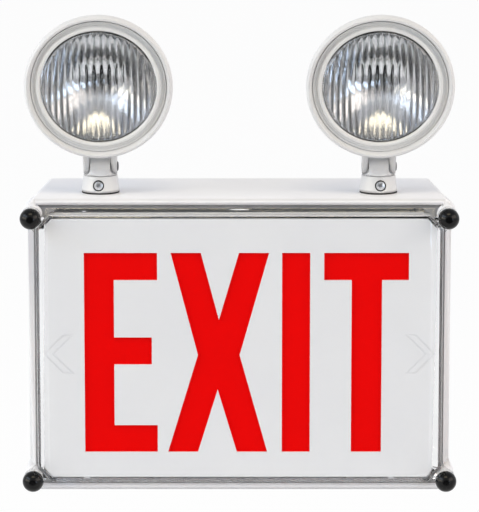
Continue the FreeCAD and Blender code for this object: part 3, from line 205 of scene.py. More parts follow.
def red_acrylic():
    """Coloured right through, with hardly any gloss of its own."""
    finish, tree, place = begin_finish("acrylic_red_diffusing")
    shader = add_node(tree, "ShaderNodeBsdfPrincipled",
                      {"IOR": 1.49, "Roughness": 0.5, "Specular IOR Level": 0.04},
                      {"Base Color": wandering_colour(tree, place, "F80000", "F40000", 45)})
    end_finish(tree, shader.outputs["BSDF"])
    return finish


def circuit_board():
    """Green mask over raised tracks. A wave repeats about three times in its texture's size."""
    finish, tree, place = begin_finish("fr4_green_solder_mask")
    tracks = add_node(tree, "ShaderNodeTexWave",
                      {"wave_profile": "SIN", "Scale": every(6.5), "Distortion": 3.0,
                       "Detail": 1.0}, {"Vector": place})
    ramp = add_node(tree, "ShaderNodeValToRGB", links={"Fac": tracks.outputs["Fac"]})
    ramp.color_ramp.interpolation = "CONSTANT"
    ramp.color_ramp.elements[0].color = linear("14562C")
    ramp.color_ramp.elements[1].position = 0.72
    ramp.color_ramp.elements[1].color = linear("1E7A3E")
    raised = add_node(tree, "ShaderNodeBump", {"Strength": 0.5, "Distance": 0.05 * MM},
                      {"Height": ramp.outputs["Color"]})
    shader = add_node(tree, "ShaderNodeBsdfPrincipled", {"IOR": 1.55, "Roughness": 0.28},
                      {"Base Color": ramp.outputs["Color"], "Normal": raised.outputs["Normal"]})
    end_finish(tree, shader.outputs["BSDF"])
    return finish


def led_resin():
    """Yellow phosphor in a soft clear dome, so light enters a little way."""
    finish, tree, place = begin_finish("silicone_led_dome")
    shader = add_node(tree, "ShaderNodeBsdfPrincipled",
                      {"Subsurface Weight": 0.3, "Subsurface Radius": (0.001, 0.0007, 0.0003),
                       "IOR": 1.41, "Roughness": 0.2},
                      {"Base Color": wandering_colour(tree, place, "F4DE7C", "E8CC60", 2)})
    end_finish(tree, shader.outputs["BSDF"])
    return finish


diffuser_finish = red_acrylic()
board_finish = circuit_board()
led_finish = led_resin()
print("soft and electrical finishes made")

# %% [markdown]
# ## Metals
# Screws are zinc-plated steel: a bright bluish grey with faint mottling from the bath. The
# reflectors are plastic bowls with a vapour-deposited aluminium skin, which is almost a perfect
# mirror; a little waviness from the moulding below keeps its reflections from being ideal.

# %% Zinc plate, laminations, aluminised mirror and tungsten
def plated(name, pale, deep, smooth, rough, patch, wave, height):
    """A metal skin, with its patches and surface waves sized in millimetres."""
    finish, tree, place = begin_finish(name)
    shader = add_node(tree, "ShaderNodeBsdfPrincipled", {"Metallic": 1.0}, {
        "Base Color": wandering_colour(tree, place, pale, deep, patch),
        "Roughness": wandering_roughness(tree, place, smooth, rough, patch),
        "Normal": grain_bump(tree, place, wave, height)})
    end_finish(tree, shader.outputs["BSDF"])
    return finish


zinc_finish = plated("zinc_plated_steel", "C9CBCE", "AEB1B5", 0.2, 0.36, 1.6, 0.4, 0.01)
core_finish = plated("silicon_steel_laminated", "6C6E72", "54565A", 0.35, 0.5, 5, 0.6, 0.03)
bright_finish = plated("zinc_bright_passivated", "E8EAED", "D6D9DD", 0.3, 0.42, 1.6, 0.4, 0.01)
mirror_finish = plated("aluminised_reflector", "FAFAFB", "F0F1F3", 0.1, 0.18, 9, 6.0, 0.05)
dark_finish = plated("zinc_black_passivated", "55575B", "3E4044", 0.28, 0.4, 1.6, 0.4, 0.01)
tungsten_finish = plated("tungsten_wire", "9A948C", "857F78", 0.3, 0.4, 1, 0.3, 0.01)
print("metal finishes made")

# %% [markdown]
# ## Clear plastics and glass
# A clear part bends light, and a Principled shader with full transmission does that. It also
# blocks lamp light, because a path tracer can't aim a shadow ray through a bent path, and
# what lies behind would turn dark. So the rays that carry light from lamps to the surfaces
# behind meet plain transparency instead, and only the rays that make the picture are bent.

# %% Clear polycarbonate and lamp glass
PASSING_TINT = "FCFCFC"      # of light that goes straight through


def clear(name, tint, ior):
    """A clear part: bent light for the picture, plain transparency for lamp light."""
    finish, tree, _ = begin_finish(name)
    bending = add_node(tree, "ShaderNodeBsdfPrincipled",
                       {"Base Color": linear(tint), "Transmission Weight": 1.0, "IOR": ior,
                        "Roughness": 0.0})
    passing = add_node(tree, "ShaderNodeBsdfTransparent", {"Color": linear(PASSING_TINT)})
    path = add_node(tree, "ShaderNodeLightPath")
    lighting = add_node(tree, "ShaderNodeMath", {"operation": "MAXIMUM"},
                        {0: path.outputs["Is Shadow Ray"], 1: path.outputs["Is Diffuse Ray"]})
    both = add_node(tree, "ShaderNodeMixShader",
                    links={0: lighting.outputs[0], 1: bending.outputs["BSDF"],
                           2: passing.outputs["BSDF"]})
    end_finish(tree, both.outputs["Shader"])
    return finish


shield_finish = clear("polycarbonate_clear", "FAFBFC", 1.585)
lens_finish = clear("polycarbonate_clear_lens", "FBFCFD", 1.585)
glass_finish = clear("soda_lime_glass", "FBFDFC", 1.52)
pilot_finish = moulded("polycarbonate_red_pilot", "B01E14", "A01810", 0.1, 0.2)
print("clear finishes made")

# %% [markdown]
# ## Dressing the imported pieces
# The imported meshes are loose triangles, so their round faces look cut. A copy whose shared
# corners are merged can be shaded smoothly, with every edge sharper than a set angle kept
# crisp. A large flat face beside a small rounding would then look bent, because its corners
# lean towards the rounding. The Weighted Normal modifier cures that: at each corner the larger
# face decides, so flats stay flat and only the rounding turns. The copy stands for the packed
# piece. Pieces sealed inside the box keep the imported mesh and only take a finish.

# %% Smooth copies
def new_object(name, data):
    """A new object in the scene that holds a mesh, a lamp or a camera."""
    holder = bpy.data.objects.new(name, data)
    bpy.context.scene.collection.objects.link(holder)
    return holder


def settle(holder):
    """The plain mesh that an object's modifiers give. The object goes."""
    bpy.context.view_layer.update()
    seen = holder.evaluated_get(bpy.context.evaluated_depsgraph_get())
    mesh = bpy.data.meshes.new_from_object(seen)
    bpy.data.objects.remove(holder)
    return mesh


def finish_mesh(name, work):
    """The mesh of some edited geometry, which is freed."""
    mesh = bpy.data.meshes.new(name)
    work.to_mesh(mesh)
    work.free()
    return mesh


def add_piece(name, mesh, finish, body, stands_for=(), sharp=32):
    """Put a finished mesh on its body, smooth up to an angle in degrees."""
    mesh.materials.clear()
    mesh.materials.append(finish)
    if sharp:
        mesh.shade_smooth()
        mesh.set_sharp_from_angle(angle=math.radians(sharp))
    piece = new_object(name, mesh)
    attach(piece, body)
    if stands_for:
        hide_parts(*stands_for)
    return piece


def even_flats(mesh, sharp):
    """The mesh with smooth roundings and true flats, kept as its own corner normals."""
    mesh.shade_smooth()
    mesh.set_sharp_from_angle(angle=math.radians(sharp))
    holder = new_object("even_flats", mesh)
    modifier = holder.modifiers.new("even_flats", "WEIGHTED_NORMAL")
    modifier.mode, modifier.keep_sharp, modifier.weight = "FACE_AREA", True, 90
    return settle(holder)


def smooth_copy(node, finish, sharp=32, shape=None):
    """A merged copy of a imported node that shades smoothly; shape may change it first."""
    work = bmesh.new()
    work.from_mesh(nodes[node].data)
    bmesh.ops.remove_doubles(work, verts=work.verts, dist=MERGE_PACKED)
    if shape:
        shape(work)
    mesh = even_flats(finish_mesh(node + "_shown", work), sharp)
    return add_piece(node + "_shown", mesh, finish, bodies[node], [node], sharp=0)


CORNERS = ("upper_left", "upper_right", "lower_left", "lower_right")
SIDES = ("left", "right")
shown = {"back_housing": housing_finish, "clear_shield": shield_finish,
         "test_switch": switch_finish, "test_button": button_finish,
         "pilot_light": pilot_finish}
for corner in CORNERS:
    shown["washer_" + corner] = washer_and_shade_ring_finish
for side in SIDES:
    for part, finish in (("neck_gasket", rubber_finish), ("collar", lamp_finish),
                         ("pivot_screw", dark_finish), ("pivot_nut", dark_finish)):
        shown[side + "_" + part] = finish
for node, finish in shown.items():
    smooth_copy(node, finish)
print(len(shown), "smooth copies")

# %% Finishes for the pieces inside
inside = {"housing_gasket": sponge_finish, "red_diffuser": diffuser_finish,
          "inner_pan": tray_finish, "led_board_upper": board_finish,
          "led_board_lower": board_finish, "led_row_upper": led_finish,
          "led_row_lower": led_finish, "battery": battery_finish, "battery_strap": zinc_finish,
          "charger_board": board_finish, "transformer": core_finish, "relay": relay_finish,
          "capacitors": can_finish, "terminal_block": terminal_finish,
          "pan_screws": zinc_finish, "board_screws": zinc_finish, "strap_screws": zinc_finish}
for side in SIDES:
    inside[side + "_locknut"] = nut_finish
    inside[side + "_bulb_socket"] = socket_finish
    inside[side + "_lens_gasket"] = lens_gasket_finish
for node, finish in inside.items():
    nodes[node].data.materials.clear()
    nodes[node].data.materials.append(finish)
print(len(inside), "inside pieces dressed")

# %% [markdown]
# ## The stencil face
# The face is a flat sheet with its letters cut through, so the red sheet behind shows in them,
# and two chevrons scored round for knocking out. Blender's flat curves suit it: closed outlines
# drawn inside one another become holes by themselves, and an extrusion with a tiny bevel gives
# the sheet its thickness and soft edges. The letters are plain blocks drawn here from a few
# widths; nothing is traced.

# %% Outlines of the letters
LETTER_HIGH = 152.4      # the least height that such a sign's letters may have, 6 inches
LETTER_TOP = 73.0        # above the middle of the box's back
LETTER_LOW = LETTER_TOP - LETTER_HIGH
BAR = 20.8               # thickness of the level bars


def letter_e(left):
    """The corners of an E from its left edge: a stem with three bars, the middle one shorter."""
    stem, reach, middle, waist = 22.3, 54.7, 50.5, 8.7
    low = LETTER_LOW
    return [(left, low), (left + reach, low), (left + reach, low + BAR), (left + stem, low + BAR),
            (left + stem, waist - BAR), (left + middle, waist - BAR), (left + middle, waist),
            (left + stem, waist), (left + stem, LETTER_TOP - BAR),
            (left + reach, LETTER_TOP - BAR), (left + reach, LETTER_TOP), (left, LETTER_TOP)]


def letter_x(left):
    """The corners of an X: the crotches lie apart in height, as its strokes have a width."""
    low = LETTER_LOW
    waist = LETTER_TOP - 77.9
    return [(left, low), (left + 22.6, low), (left + 37.4, low + 47.9), (left + 51.8, low),
            (left + 74.7, low), (left + 53.9, waist), (left + 76.0, LETTER_TOP),
            (left + 53.4, LETTER_TOP), (left + 38.4, LETTER_TOP - 50.9),
            (left + 24.9, LETTER_TOP), (left + 2.3, LETTER_TOP), (left + 22.6, waist)]


def letter_i(left):
    """The corners of an I, which is one bar."""
    right = left + 21.0
    return [(left, LETTER_LOW), (right, LETTER_LOW), (right, LETTER_TOP), (left, LETTER_TOP)]


def letter_t(left):
    """The corners of a T: a level bar on a stem."""
    width, stem_left, stem_right = 63.3, 20.6, 43.3
    low = LETTER_LOW
    return [(left + stem_left, low), (left + stem_right, low),
            (left + stem_right, LETTER_TOP - BAR), (left + width, LETTER_TOP - BAR),
            (left + width, LETTER_TOP), (left, LETTER_TOP), (left, LETTER_TOP - BAR),
            (left + stem_left, LETTER_TOP - BAR)]


# Each letter's left edge, in millimetres from the middle of the sign.
letters = [letter_e(-116.2), letter_x(-53.8), letter_i(31.8), letter_t(63.2)]
print(len(letters), "letters,", LETTER_HIGH, "mm high")

# %% Outlines of the chevrons and the sheet
CHEVRON_TIP = 147.0      # from the middle of the sign
CHEVRON_RUN, CHEVRON_HALF, CHEVRON_ARM = 14.8, 14.9, 8.2       # length, half height, arm width
CHEVRON_LEVEL = -3.9
SCORE = 1.1              # width of the scored line round a chevron


def chevron(side, inset):
    """An arrow head that points outwards, with each edge moved in by the inset."""
    slope = CHEVRON_RUN / CHEVRON_HALF
    along = inset * math.hypot(1, slope)
    tip, back = CHEVRON_TIP - along, CHEVRON_TIP - CHEVRON_ARM + along
    half = CHEVRON_HALF - inset
    run = half * slope
    return [(side * x, CHEVRON_LEVEL + z) for x, z in (
        (tip, 0), (tip - run, half), (back - run, half), (back, 0), (back - run, -half),
        (tip - run, -half))]


def cut_corner_box(half_wide, low, high, cut):
    """The corners of an upright box with its four corners cut off at 45 degrees."""
    return [(half_wide, low + cut), (half_wide, high - cut), (half_wide - cut, high),
            (-half_wide + cut, high), (-half_wide, high - cut), (-half_wide, low + cut),
            (-half_wide + cut, low), (half_wide - cut, low)]


def flat_sheet(name, outlines, thick, edge):
    """A mesh of closed outlines, the inner ones cut out, facing up, in metres."""
    curve = bpy.data.curves.new(name, "CURVE")
    curve.dimensions, curve.fill_mode = "2D", "BOTH"
    curve.extrude = (thick / 2 - edge) * MM
    curve.bevel_depth, curve.bevel_resolution = edge * MM, 1
    curve.offset = -edge * MM
    for outline in outlines:
        spline = curve.splines.new("POLY")
        spline.points.add(len(outline) - 1)
        for point, (x, z) in zip(spline.points, outline):
            point.co = (x * MM, z * MM, 0, 1)
        spline.use_cyclic_u = True
    holder = bpy.data.objects.new(name, curve)
    mesh = bpy.data.meshes.new_from_object(holder)
    bpy.data.objects.remove(holder)
    bpy.data.curves.remove(curve)
    return mesh


PLATE_CUT = 8.0          # the cut at each corner of the sheet
SHEET_EDGE = 0.12        # softening of the sheet's edges
FACING = Matrix.Rotation(math.radians(90), 4, "X")     # what faces up then faces the viewer
plate_low, plate_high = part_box("face_plate")
plate_outline = cut_corner_box(plate_high.x / MM, plate_low.z / MM, plate_high.z / MM, PLATE_CUT)
print("face sheet", round((plate_high.x - plate_low.x) / MM, 1), "mm wide")


# %% Build the face
def build_face():
    """The front layer has letters and score lines cut in it, the back layer only the letters."""
    front_thick = 0.5
    back_thick = (plate_high.y - plate_low.y) / MM - front_thick
    scores = [chevron(side, inset) for side in (-1, 1) for inset in (0, SCORE)]
    front = flat_sheet("front", [plate_outline] + letters + scores, front_thick, SHEET_EDGE)
    back = flat_sheet("back", [plate_outline] + letters, back_thick, SHEET_EDGE)
    front.transform(Matrix.Translation((0, plate_low.y + front_thick / 2 * MM, 0)) @ FACING)
    back.transform(Matrix.Translation((0, plate_high.y - back_thick / 2 * MM, 0)) @ FACING)
    work = bmesh.new()
    for layer in (front, back):
        work.from_mesh(layer)
        bpy.data.meshes.remove(layer)
    mesh = finish_mesh("stencil_face", work)
    return add_piece("stencil_face", mesh, face_finish, "enclosure", ["face_plate"])


face = build_face()
print("stencil face:", len(face.data.polygons), "faces")

# %% [markdown]
# ## Turned shapes
# Knobs, reflectors and bulbs are round about an axis. Their half-outline, a list of radii and
# heights with the round stretches worked out as arcs, is spun about Z and then put in place.
# A lamp head's pieces share one frame: its Z runs out through the lens.

# %% Spin an outline
def arc(centre_r, centre_h, radius, start, stop, steps=16):
    """Points of a circle from one angle to another, in degrees, as (radius, height)."""
    angles = [math.radians(start + (stop - start) * i / steps) for i in range(steps + 1)]
    return [(centre_r + radius * math.cos(a), centre_h + radius * math.sin(a)) for a in angles]


def spin(name, outline, place, steps=96):
    """The mesh of an outline of (radius, height) in millimetres, spun about Z."""
    work = bmesh.new()
    dots = [work.verts.new((max(r, 0) * MM, 0, h * MM)) for r, h in outline]
    lines = [work.edges.new(pair) for pair in zip(dots, dots[1:])]
    bmesh.ops.spin(work, geom=dots + lines, axis=(0, 0, 1), cent=(0, 0, 0),
                   angle=math.tau, steps=steps, use_merge=True)
    bmesh.ops.remove_doubles(work, verts=work.verts, dist=MERGE_SPUN)
    bmesh.ops.recalc_face_normals(work, faces=work.faces)
    mesh = finish_mesh(name, work)
    mesh.transform(place)
    return mesh


def lamp_place(side):
    """The frame of a lamp head, from its pivot screw and its ring."""
    forward, above, tilt = 26.0, 63.9, 10.0
    screw_low, screw_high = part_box(side + "_pivot_screw")
    ring_low, ring_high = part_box(side + "_bezel")
    pivot = (screw_low + screw_high) / 2
    centre = Vector(((ring_low.x + ring_high.x) / 2, pivot.y - forward * MM,
                     pivot.z + above * MM))
    return Matrix.Translation(centre) @ Matrix.Rotation(math.radians(90 + tilt), 4, "X")


lamps = {side: lamp_place(side) for side in SIDES}
print("lamps at", [tuple(round(c, 4) for c in m.translation) for m in lamps.values()])

# %% [markdown]
# ## The rolled rim and its ring
# The front of a lamp head is where the eye rests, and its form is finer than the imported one.
# The shell ends in a rolled rim that swells just behind its crown and falls inwards to the
# ring. The ring has one bold lip over the lens, and a wide shallow hollow round the lip. The
# ring is spun afresh. The shell keeps its lugs and bowl, so its copy is changed in place:
# every corner in the rim's zone moves from its old half-outline to the finer one.

# %% Rims and rings
# Half-outlines about a lamp's axis, as (radius, height) in millimetres.
RIM_FROM = ((51.4, -12.5), (53.0, -11.0), (55.4, -8.5), (55.4, -0.5), (52.8, 4.2), (50.8, 4.6),
            (49.9, 4.6))
RIM_TO = ((51.6, -11.5), (54.2, -4.6), (55.4, -0.8), (55.4, 2.6), (53.8, 5.3), (52.7, 5.3),
          (52.0, 4.6))
RIM_ZONE = 0.9           # how near a corner lies to the old half-outline to be moved
RING = ([(43.6, -0.3), (43.6, 1.4)] + arc(45.2, 1.5, 1.6, 176, 16, 14)
        + [(46.9, 1.3), (47.3, 0.4), (49.3, 0.2), (49.8, 0.8), (50.1, 1.4), (50.5, 1.2),
           (50.5, -0.3), (43.6, -0.3)])
PARTING_HALF, PARTING_PROUD = 0.25, 0.16
PARTING_TOP = 0.55       # share of the moulding's height where the line stops


def along_outline(outline, share):
    """The point at a share of one stretch after another: 2.5 is halfway along the third."""
    step = min(int(share), len(outline) - 2)
    (r0, h0), (r1, h1) = outline[step:step + 2]
    return r0 + (r1 - r0) * (share - step), h0 + (h1 - h0) * (share - step)


def nearest_share(outline, r, h):
    """Where on an outline, as above, a point lies, and how far off it is."""
    best = (0.0, math.inf)
    for step, ((r0, h0), (r1, h1)) in enumerate(zip(outline, outline[1:])):
        run = (r1 - r0) ** 2 + (h1 - h0) ** 2
        part = min(max(((r - r0) * (r1 - r0) + (h - h0) * (h1 - h0)) / run, 0), 1)
        off = math.hypot(r - r0 - part * (r1 - r0), h - h0 - part * (h1 - h0))
        if off < best[1]:
            best = (step + part, off)
    return best


def roll_rim(side):
    """A change for a shell's copy that moves its rim from one half-outline to the other."""
    place = lamps[side]
    back = place.inverted()

    def change(work):
        for vert in work.verts:
            spot = back @ vert.co / MM
            r = math.hypot(spot.x, spot.y)
            share, off = nearest_share(RIM_FROM, r, spot.z)
            if off < RIM_ZONE and share > 0:
                new_r, new_h = along_outline(RIM_TO, share)
                vert.co = place @ (Vector((spot.x * new_r / r, spot.y * new_r / r, new_h)) * MM)
    return change


def parting_line(node):
    """A change for a moulding's copy: a faint raised line on its front, where its tool met."""
    low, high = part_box(node)
    middle = (low.x + high.x) / 2
    top = low.z + PARTING_TOP * (high.z - low.z)

    def change(work):
        for off in (-PARTING_HALF, 0, PARTING_HALF):
            bmesh.ops.bisect_plane(work, geom=work.verts[:] + work.edges[:] + work.faces[:],
                                   plane_co=(middle + off * MM, 0, 0), plane_no=(1, 0, 0))
        work.normal_update()
        for vert in work.verts:
            on_line = abs(vert.co.x - middle) < 0.01 * MM
            if on_line and vert.normal.y < -0.3 and vert.co.z < top:
                vert.co.y -= PARTING_PROUD * MM
    return change


for side in SIDES:
    smooth_copy(side + "_knuckle", lamp_finish, shape=parting_line(side + "_knuckle"))
    smooth_copy(side + "_head_shell", lamp_finish, shape=roll_rim(side))
    ring = spin(side + "_ring", RING, lamps[side], steps=128)
    add_piece(side + "_ring", ring, bezel_finish, side + "_head", [side + "_bezel"],
              sharp=50)
print("rims and rings")

# %% [markdown]
# ## Collar screws
# One screw in front of each collar stops the swivel from being pulled out. It has a domed zinc
# head with a cross recess. Round the head lies a black ring that is painted shade: it stands for
# the dark gap between the head and its counterbore. The recess is cut by a Boolean modifier with
# a small tapered cross.

# %% Heads, recesses and painted shade rings
def cross_cutter(reach, width, depth):
    """An upright cross about Z, narrower at the bottom, half above its origin."""
    half = width / 2
    corners = [Vector((x, y)) for x, y in ((reach, -half), (reach, half), (half, half))]
    outline = [Matrix.Rotation(math.radians(turn), 2) @ corner
               for turn in (0, 90, 180, 270) for corner in corners]
    work = bmesh.new()
    bottom, top = ([work.verts.new((x * share * MM, y * share * MM, level * MM))
                    for x, y in outline] for share, level in ((0.6, -depth / 2), (1, depth / 2)))
    work.faces.new(bottom)
    work.faces.new(top)
    for i in range(len(outline)):
        work.faces.new((bottom[i - 1], bottom[i], top[i], top[i - 1]))
    bmesh.ops.recalc_face_normals(work, faces=work.faces)
    return finish_mesh("cross", work)


def cut(mesh, cutter, place):
    """The mesh less a cutter in its place, as a plain mesh."""
    holder, knife = new_object(mesh.name, mesh), new_object(cutter.name, cutter)
    knife.matrix_world = place
    modifier = holder.modifiers.new("cut", "BOOLEAN")
    modifier.object, modifier.operation, modifier.solver = knife, "DIFFERENCE", "EXACT"
    result = settle(holder)
    bpy.data.objects.remove(knife)
    return result


SHANK, HEAD, DOME = 1.6, 3.3, 9.2       # radii: the screw's shank, its head and its dome
SCREW = ([(0, -6), (SHANK, -6), (SHANK, -1.6), (HEAD, -1.6), (HEAD, -0.9)]
         + arc(0, -DOME, DOME, 70, 90, 8))
# The black ring round the head is painted shade, for the shaded gap between head and counterbore.
SHADE_RING = ([(1.7, -2.4), (4.2, -2.4)] + arc(3.9, -1.7, 0.3, 0, 90, 4) + [(1.7, -1.4), (1.7, -2.4)])
RECESS_TURN = 12         # degrees, where the driver left it

for side in SIDES:
    low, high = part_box(side + "_collar_screw")
    crown = Vector(((low.x + high.x) / 2, low.y, (low.z + high.z) / 2))
    place = Matrix.Translation(crown) @ FACING
    recess = cross_cutter(reach=1.9, width=0.75, depth=2.2)
    head = cut(spin(side + "_screw", SCREW, place, steps=48), recess,
               place @ Matrix.Rotation(math.radians(RECESS_TURN), 4, "Z"))
    add_piece(side + "_screw", head, bright_finish, bodies[side + "_collar_screw"],
              [side + "_collar_screw"])
    # A black ring round the head: painted shade for the gap in the counterbore.
    shade_ring = spin(side + "_screw_seal", SHADE_RING, place, steps=48)
    add_piece(side + "_screw_seal", shade_ring, washer_and_shade_ring_finish, bodies[side + "_collar_screw"])
    print(side, "collar screw:", len(head.polygons), "faces")

# %% [markdown]
# ## Ball knobs
# Each thumbscrew is a polished black ball on a threaded stud. The ball is a spun arc. The
# thread is a small ridge that climbs round the stud, so a Geometry Nodes tree makes it: a
# spiral curve with a little circle swept along it, with the stud's sizes as inputs.

# %% The thread tree
def begin_tree(name, sizes):
    """A geometry tree with named sizes and a finish as inputs, and its input node."""
    tree = bpy.data.node_groups.new(name, "GeometryNodeTree")
    tree.interface.new_socket("Geometry", in_out="OUTPUT", socket_type="NodeSocketGeometry")
    for label, start in sizes:
        socket = tree.interface.new_socket(label, in_out="INPUT", socket_type="NodeSocketFloat")
        socket.default_value = start
    tree.interface.new_socket("Finish", in_out="INPUT", socket_type="NodeSocketMaterial")
    return tree, add_node(tree, "NodeGroupInput")


def end_tree(tree, given, shape):
    """Turn the shape into one mesh with the finish on it, and put it out."""
    real = add_node(tree, "GeometryNodeRealizeInstances", links={"Geometry": shape})
    dressed = add_node(tree, "GeometryNodeSetMaterial",
                       links={"Geometry": real.outputs["Geometry"],
                              "Material": given.outputs["Finish"]})
    add_node(tree, "NodeGroupOutput", links={"Geometry": dressed.outputs["Geometry"]})
    return tree


def thread_tree():
    """A ridge that climbs round a core, with the core's radius and the pitch as inputs."""
    tree, given = begin_tree("thread", (("Radius", 2.2 * MM), ("Pitch", 1.06 * MM),
                                        ("Length", 18 * MM), ("Ridge", 0.3 * MM)))
    turns = add_node(tree, "ShaderNodeMath", {"operation": "DIVIDE"},
                     {0: given.outputs["Length"], 1: given.outputs["Pitch"]})
    path = add_node(tree, "GeometryNodeCurveSpiral", {"Resolution": 24},
                    {"Rotations": turns.outputs[0], "Start Radius": given.outputs["Radius"],
                     "End Radius": given.outputs["Radius"], "Height": given.outputs["Length"]})
    ridge = add_node(tree, "GeometryNodeCurvePrimitiveCircle", {"Resolution": 6},
                     {"Radius": given.outputs["Ridge"]})
    swept = add_node(tree, "GeometryNodeCurveToMesh", {"Fill Caps": True},
                     {"Curve": path.outputs["Curve"], "Profile Curve": ridge.outputs["Curve"]})
    return end_tree(tree, given, swept.outputs["Mesh"])


def grow(name, tree, **inputs):
    """The plain mesh that a Geometry Nodes tree makes with these inputs."""
    holder = new_object(name, bpy.data.meshes.new(name))
    modifier = holder.modifiers.new("grow", "NODES")
    modifier.node_group = tree
    for item in tree.interface.items_tree:
        if item.in_out == "INPUT" and item.name.replace(" ", "_").lower() in inputs:
            modifier[item.identifier] = inputs[item.name.replace(" ", "_").lower()]
    return settle(holder)


threads = thread_tree()
print("thread tree has", len(threads.nodes), "nodes")


# %% Knobs and studs
BALL, CENTRE = 7.9, 6.0          # a ball's radius, and its centre in front of its flat back
CROWN, CROWN_SHARE = 7.45, 0.94  # the front is a little flatter than the ball
SEAT = 0.02                      # the flat back stays this clear of its washer
CORE, PITCH, RIDGE = 2.15, 1.06, 0.32


def build_knob(corner):
    """A ball on a stud whose thread stops short of its chamfered end."""
    node = "thumbscrew_" + corner
    low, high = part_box(node)
    root = Vector(((low.x + high.x) / 2, low.y + (CENTRE + BALL * CROWN_SHARE) * MM,
                   (low.z + high.z) / 2))
    place = Matrix.Translation(root) @ FACING
    length = (high.y - root.y) / MM
    flat = math.sqrt(BALL ** 2 - CENTRE ** 2)
    start = -math.degrees(math.atan2(CENTRE, flat))
    knob = spin(node + "_knob", [(0, SEAT), (flat - 0.4, SEAT)]
                + arc(0, CENTRE, BALL, start + 4, 74, 28) + arc(0, CENTRE, CROWN, 86, 90, 2),
                place)
    add_piece(node + "_knob", knob, knob_finish, node, [node], sharp=40)
    chamfer = 0.8
    core = spin(node + "_stud", [(0, 0.2), (CORE, 0.2), (CORE, chamfer - length), (1.5, -length),
                                 (0, -length)], place, steps=32)
    thread = grow(node + "_thread", threads, radius=CORE * MM, pitch=PITCH * MM,
                  length=(length - 2.0) * MM, ridge=RIDGE * MM, finish=zinc_finish)
    thread.transform(place @ Matrix.Translation((0, 0, (chamfer - length) * MM)))
    work = bmesh.new()
    work.from_mesh(core)
    work.from_mesh(thread)
    work.to_mesh(core)
    work.free()
    add_piece(node + "_stud", core, zinc_finish, node)


for corner in CORNERS:
    build_knob(corner)
print("four knobs, studs and threads")

# %% [markdown]
# ## The fluted lens
# The lens is a disc whose front is a row of upright half-round flutes that spread the beam
# sideways. The flutes stop where a sloping edge cuts them, which leaves a scalloped end on each.
# Its shape is a rule, height as a function of place, so Geometry Nodes build it: a fine grid is
# squeezed into a disc column by column, raised by the flutes' arcs, and held down at the rim.

# %% The lens tree
def lens_tree():
    """The lens, with its radius, its flutes' number and curve, and its body's depth as inputs."""
    tree, given = begin_tree("fluted_lens", (
        ("Radius", 43.4 * MM), ("Flutes", 18.0), ("Flute Radius", 3.5 * MM), ("Body", 1.4 * MM),
        ("Rim Slope", 0.9)))
    radius = given.outputs["Radius"]

    def calc(operation, first, second=None):
        links, settings = {}, {"operation": operation}
        for place, value in ((0, first), (1, second)):
            if isinstance(value, (int, float)):
                settings[place] = float(value)
            elif value is not None:
                links[place] = value
        return add_node(tree, "ShaderNodeMath", settings, links).outputs[0]

    wide = calc("MULTIPLY", radius, 2)
    columns_a_flute, rows = 10, 73
    columns = calc("ADD", calc("MULTIPLY", given.outputs["Flutes"], columns_a_flute), 1)
    grid = add_node(tree, "GeometryNodeMeshGrid", {"Vertices Y": rows},
                    {"Size X": wide, "Size Y": wide, "Vertices X": columns})
    place = add_node(tree, "ShaderNodeSeparateXYZ",
                     links={0: add_node(tree, "GeometryNodeInputPosition").outputs[0]})
    across, up = place.outputs[0], place.outputs[1]
    share = calc("DIVIDE", across, radius)
    squeeze = calc("SQRT", calc("MAXIMUM", calc("SUBTRACT", 1, calc("MULTIPLY", share, share)), 0))
    height = calc("MULTIPLY", up, squeeze)
    pitch = calc("DIVIDE", wide, given.outputs["Flutes"])
    along = calc("FRACT", calc("DIVIDE", calc("ADD", across, radius), pitch))
    off = calc("MULTIPLY", calc("SUBTRACT", along, 0.5), pitch)
    curve = given.outputs["Flute Radius"]
    square = calc("MULTIPLY", curve, curve)
    crest = calc("SQRT", calc("SUBTRACT", square, calc("MULTIPLY", off, off)))
    half = calc("MULTIPLY", pitch, 0.5)
    valley = calc("SQRT", calc("SUBTRACT", square, calc("MULTIPLY", half, half)))
    flute = calc("ADD", calc("SUBTRACT", crest, valley), given.outputs["Body"])
    from_axis = calc("SQRT", calc("ADD", calc("MULTIPLY", across, across),
                                  calc("MULTIPLY", height, height)))
    rim = calc("MULTIPLY", calc("SUBTRACT", radius, from_axis), given.outputs["Rim Slope"])
    rim = calc("MAXIMUM", rim, 0)

    def skin(level):
        spot = add_node(tree, "ShaderNodeCombineXYZ", links={0: across, 1: height, 2: level})
        return add_node(tree, "GeometryNodeSetPosition",
                        links={"Geometry": grid.outputs["Mesh"],
                               "Position": spot.outputs[0]}).outputs[0]

    front = skin(calc("MINIMUM", flute, rim))
    back = skin(calc("MULTIPLY", calc("MINIMUM", given.outputs["Body"], rim), -1))
    turned = add_node(tree, "GeometryNodeFlipFaces", links={0: back})
    both = add_node(tree, "GeometryNodeJoinGeometry", links={0: front})
    tree.links.new(turned.outputs[0], both.inputs[0])
    closed = add_node(tree, "GeometryNodeMergeByDistance", {"Distance": 0.01 * MM},
                      {"Geometry": both.outputs[0]})
    return end_tree(tree, given, closed.outputs["Geometry"])


LENS_FORWARD = 0.6       # the lens's middle plane in front of its lamp's origin
lens_maker = lens_tree()
for side in SIDES:
    lens = grow(side + "_lens_glass", lens_maker, finish=lens_finish)
    lens.transform(lamps[side] @ Matrix.Translation((0, 0, LENS_FORWARD * MM)))
    add_piece(side + "_lens_glass", lens, lens_finish, side + "_head", [side + "_lens"],
              sharp=42)
print("lens:", len(lens.polygons), "faces")

# %% [markdown]
# ## Reflector and bulb
# The bowl behind the lens is close to a parabola, so its outline is a formula: radius grows
# with the square root of depth. The bulb is a little glass capsule with a real wall, a coiled
# filament on two wires, and a metal cap.

# %% Reflectors
BOWL_MOUTH, BOWL_NECK, FLANGE_RADIUS = 43.4, 8.0, 49.4
FLANGE_BACK, BOWL_DEEP, BOWL_WALL = -3.0, 29.0, 1.0


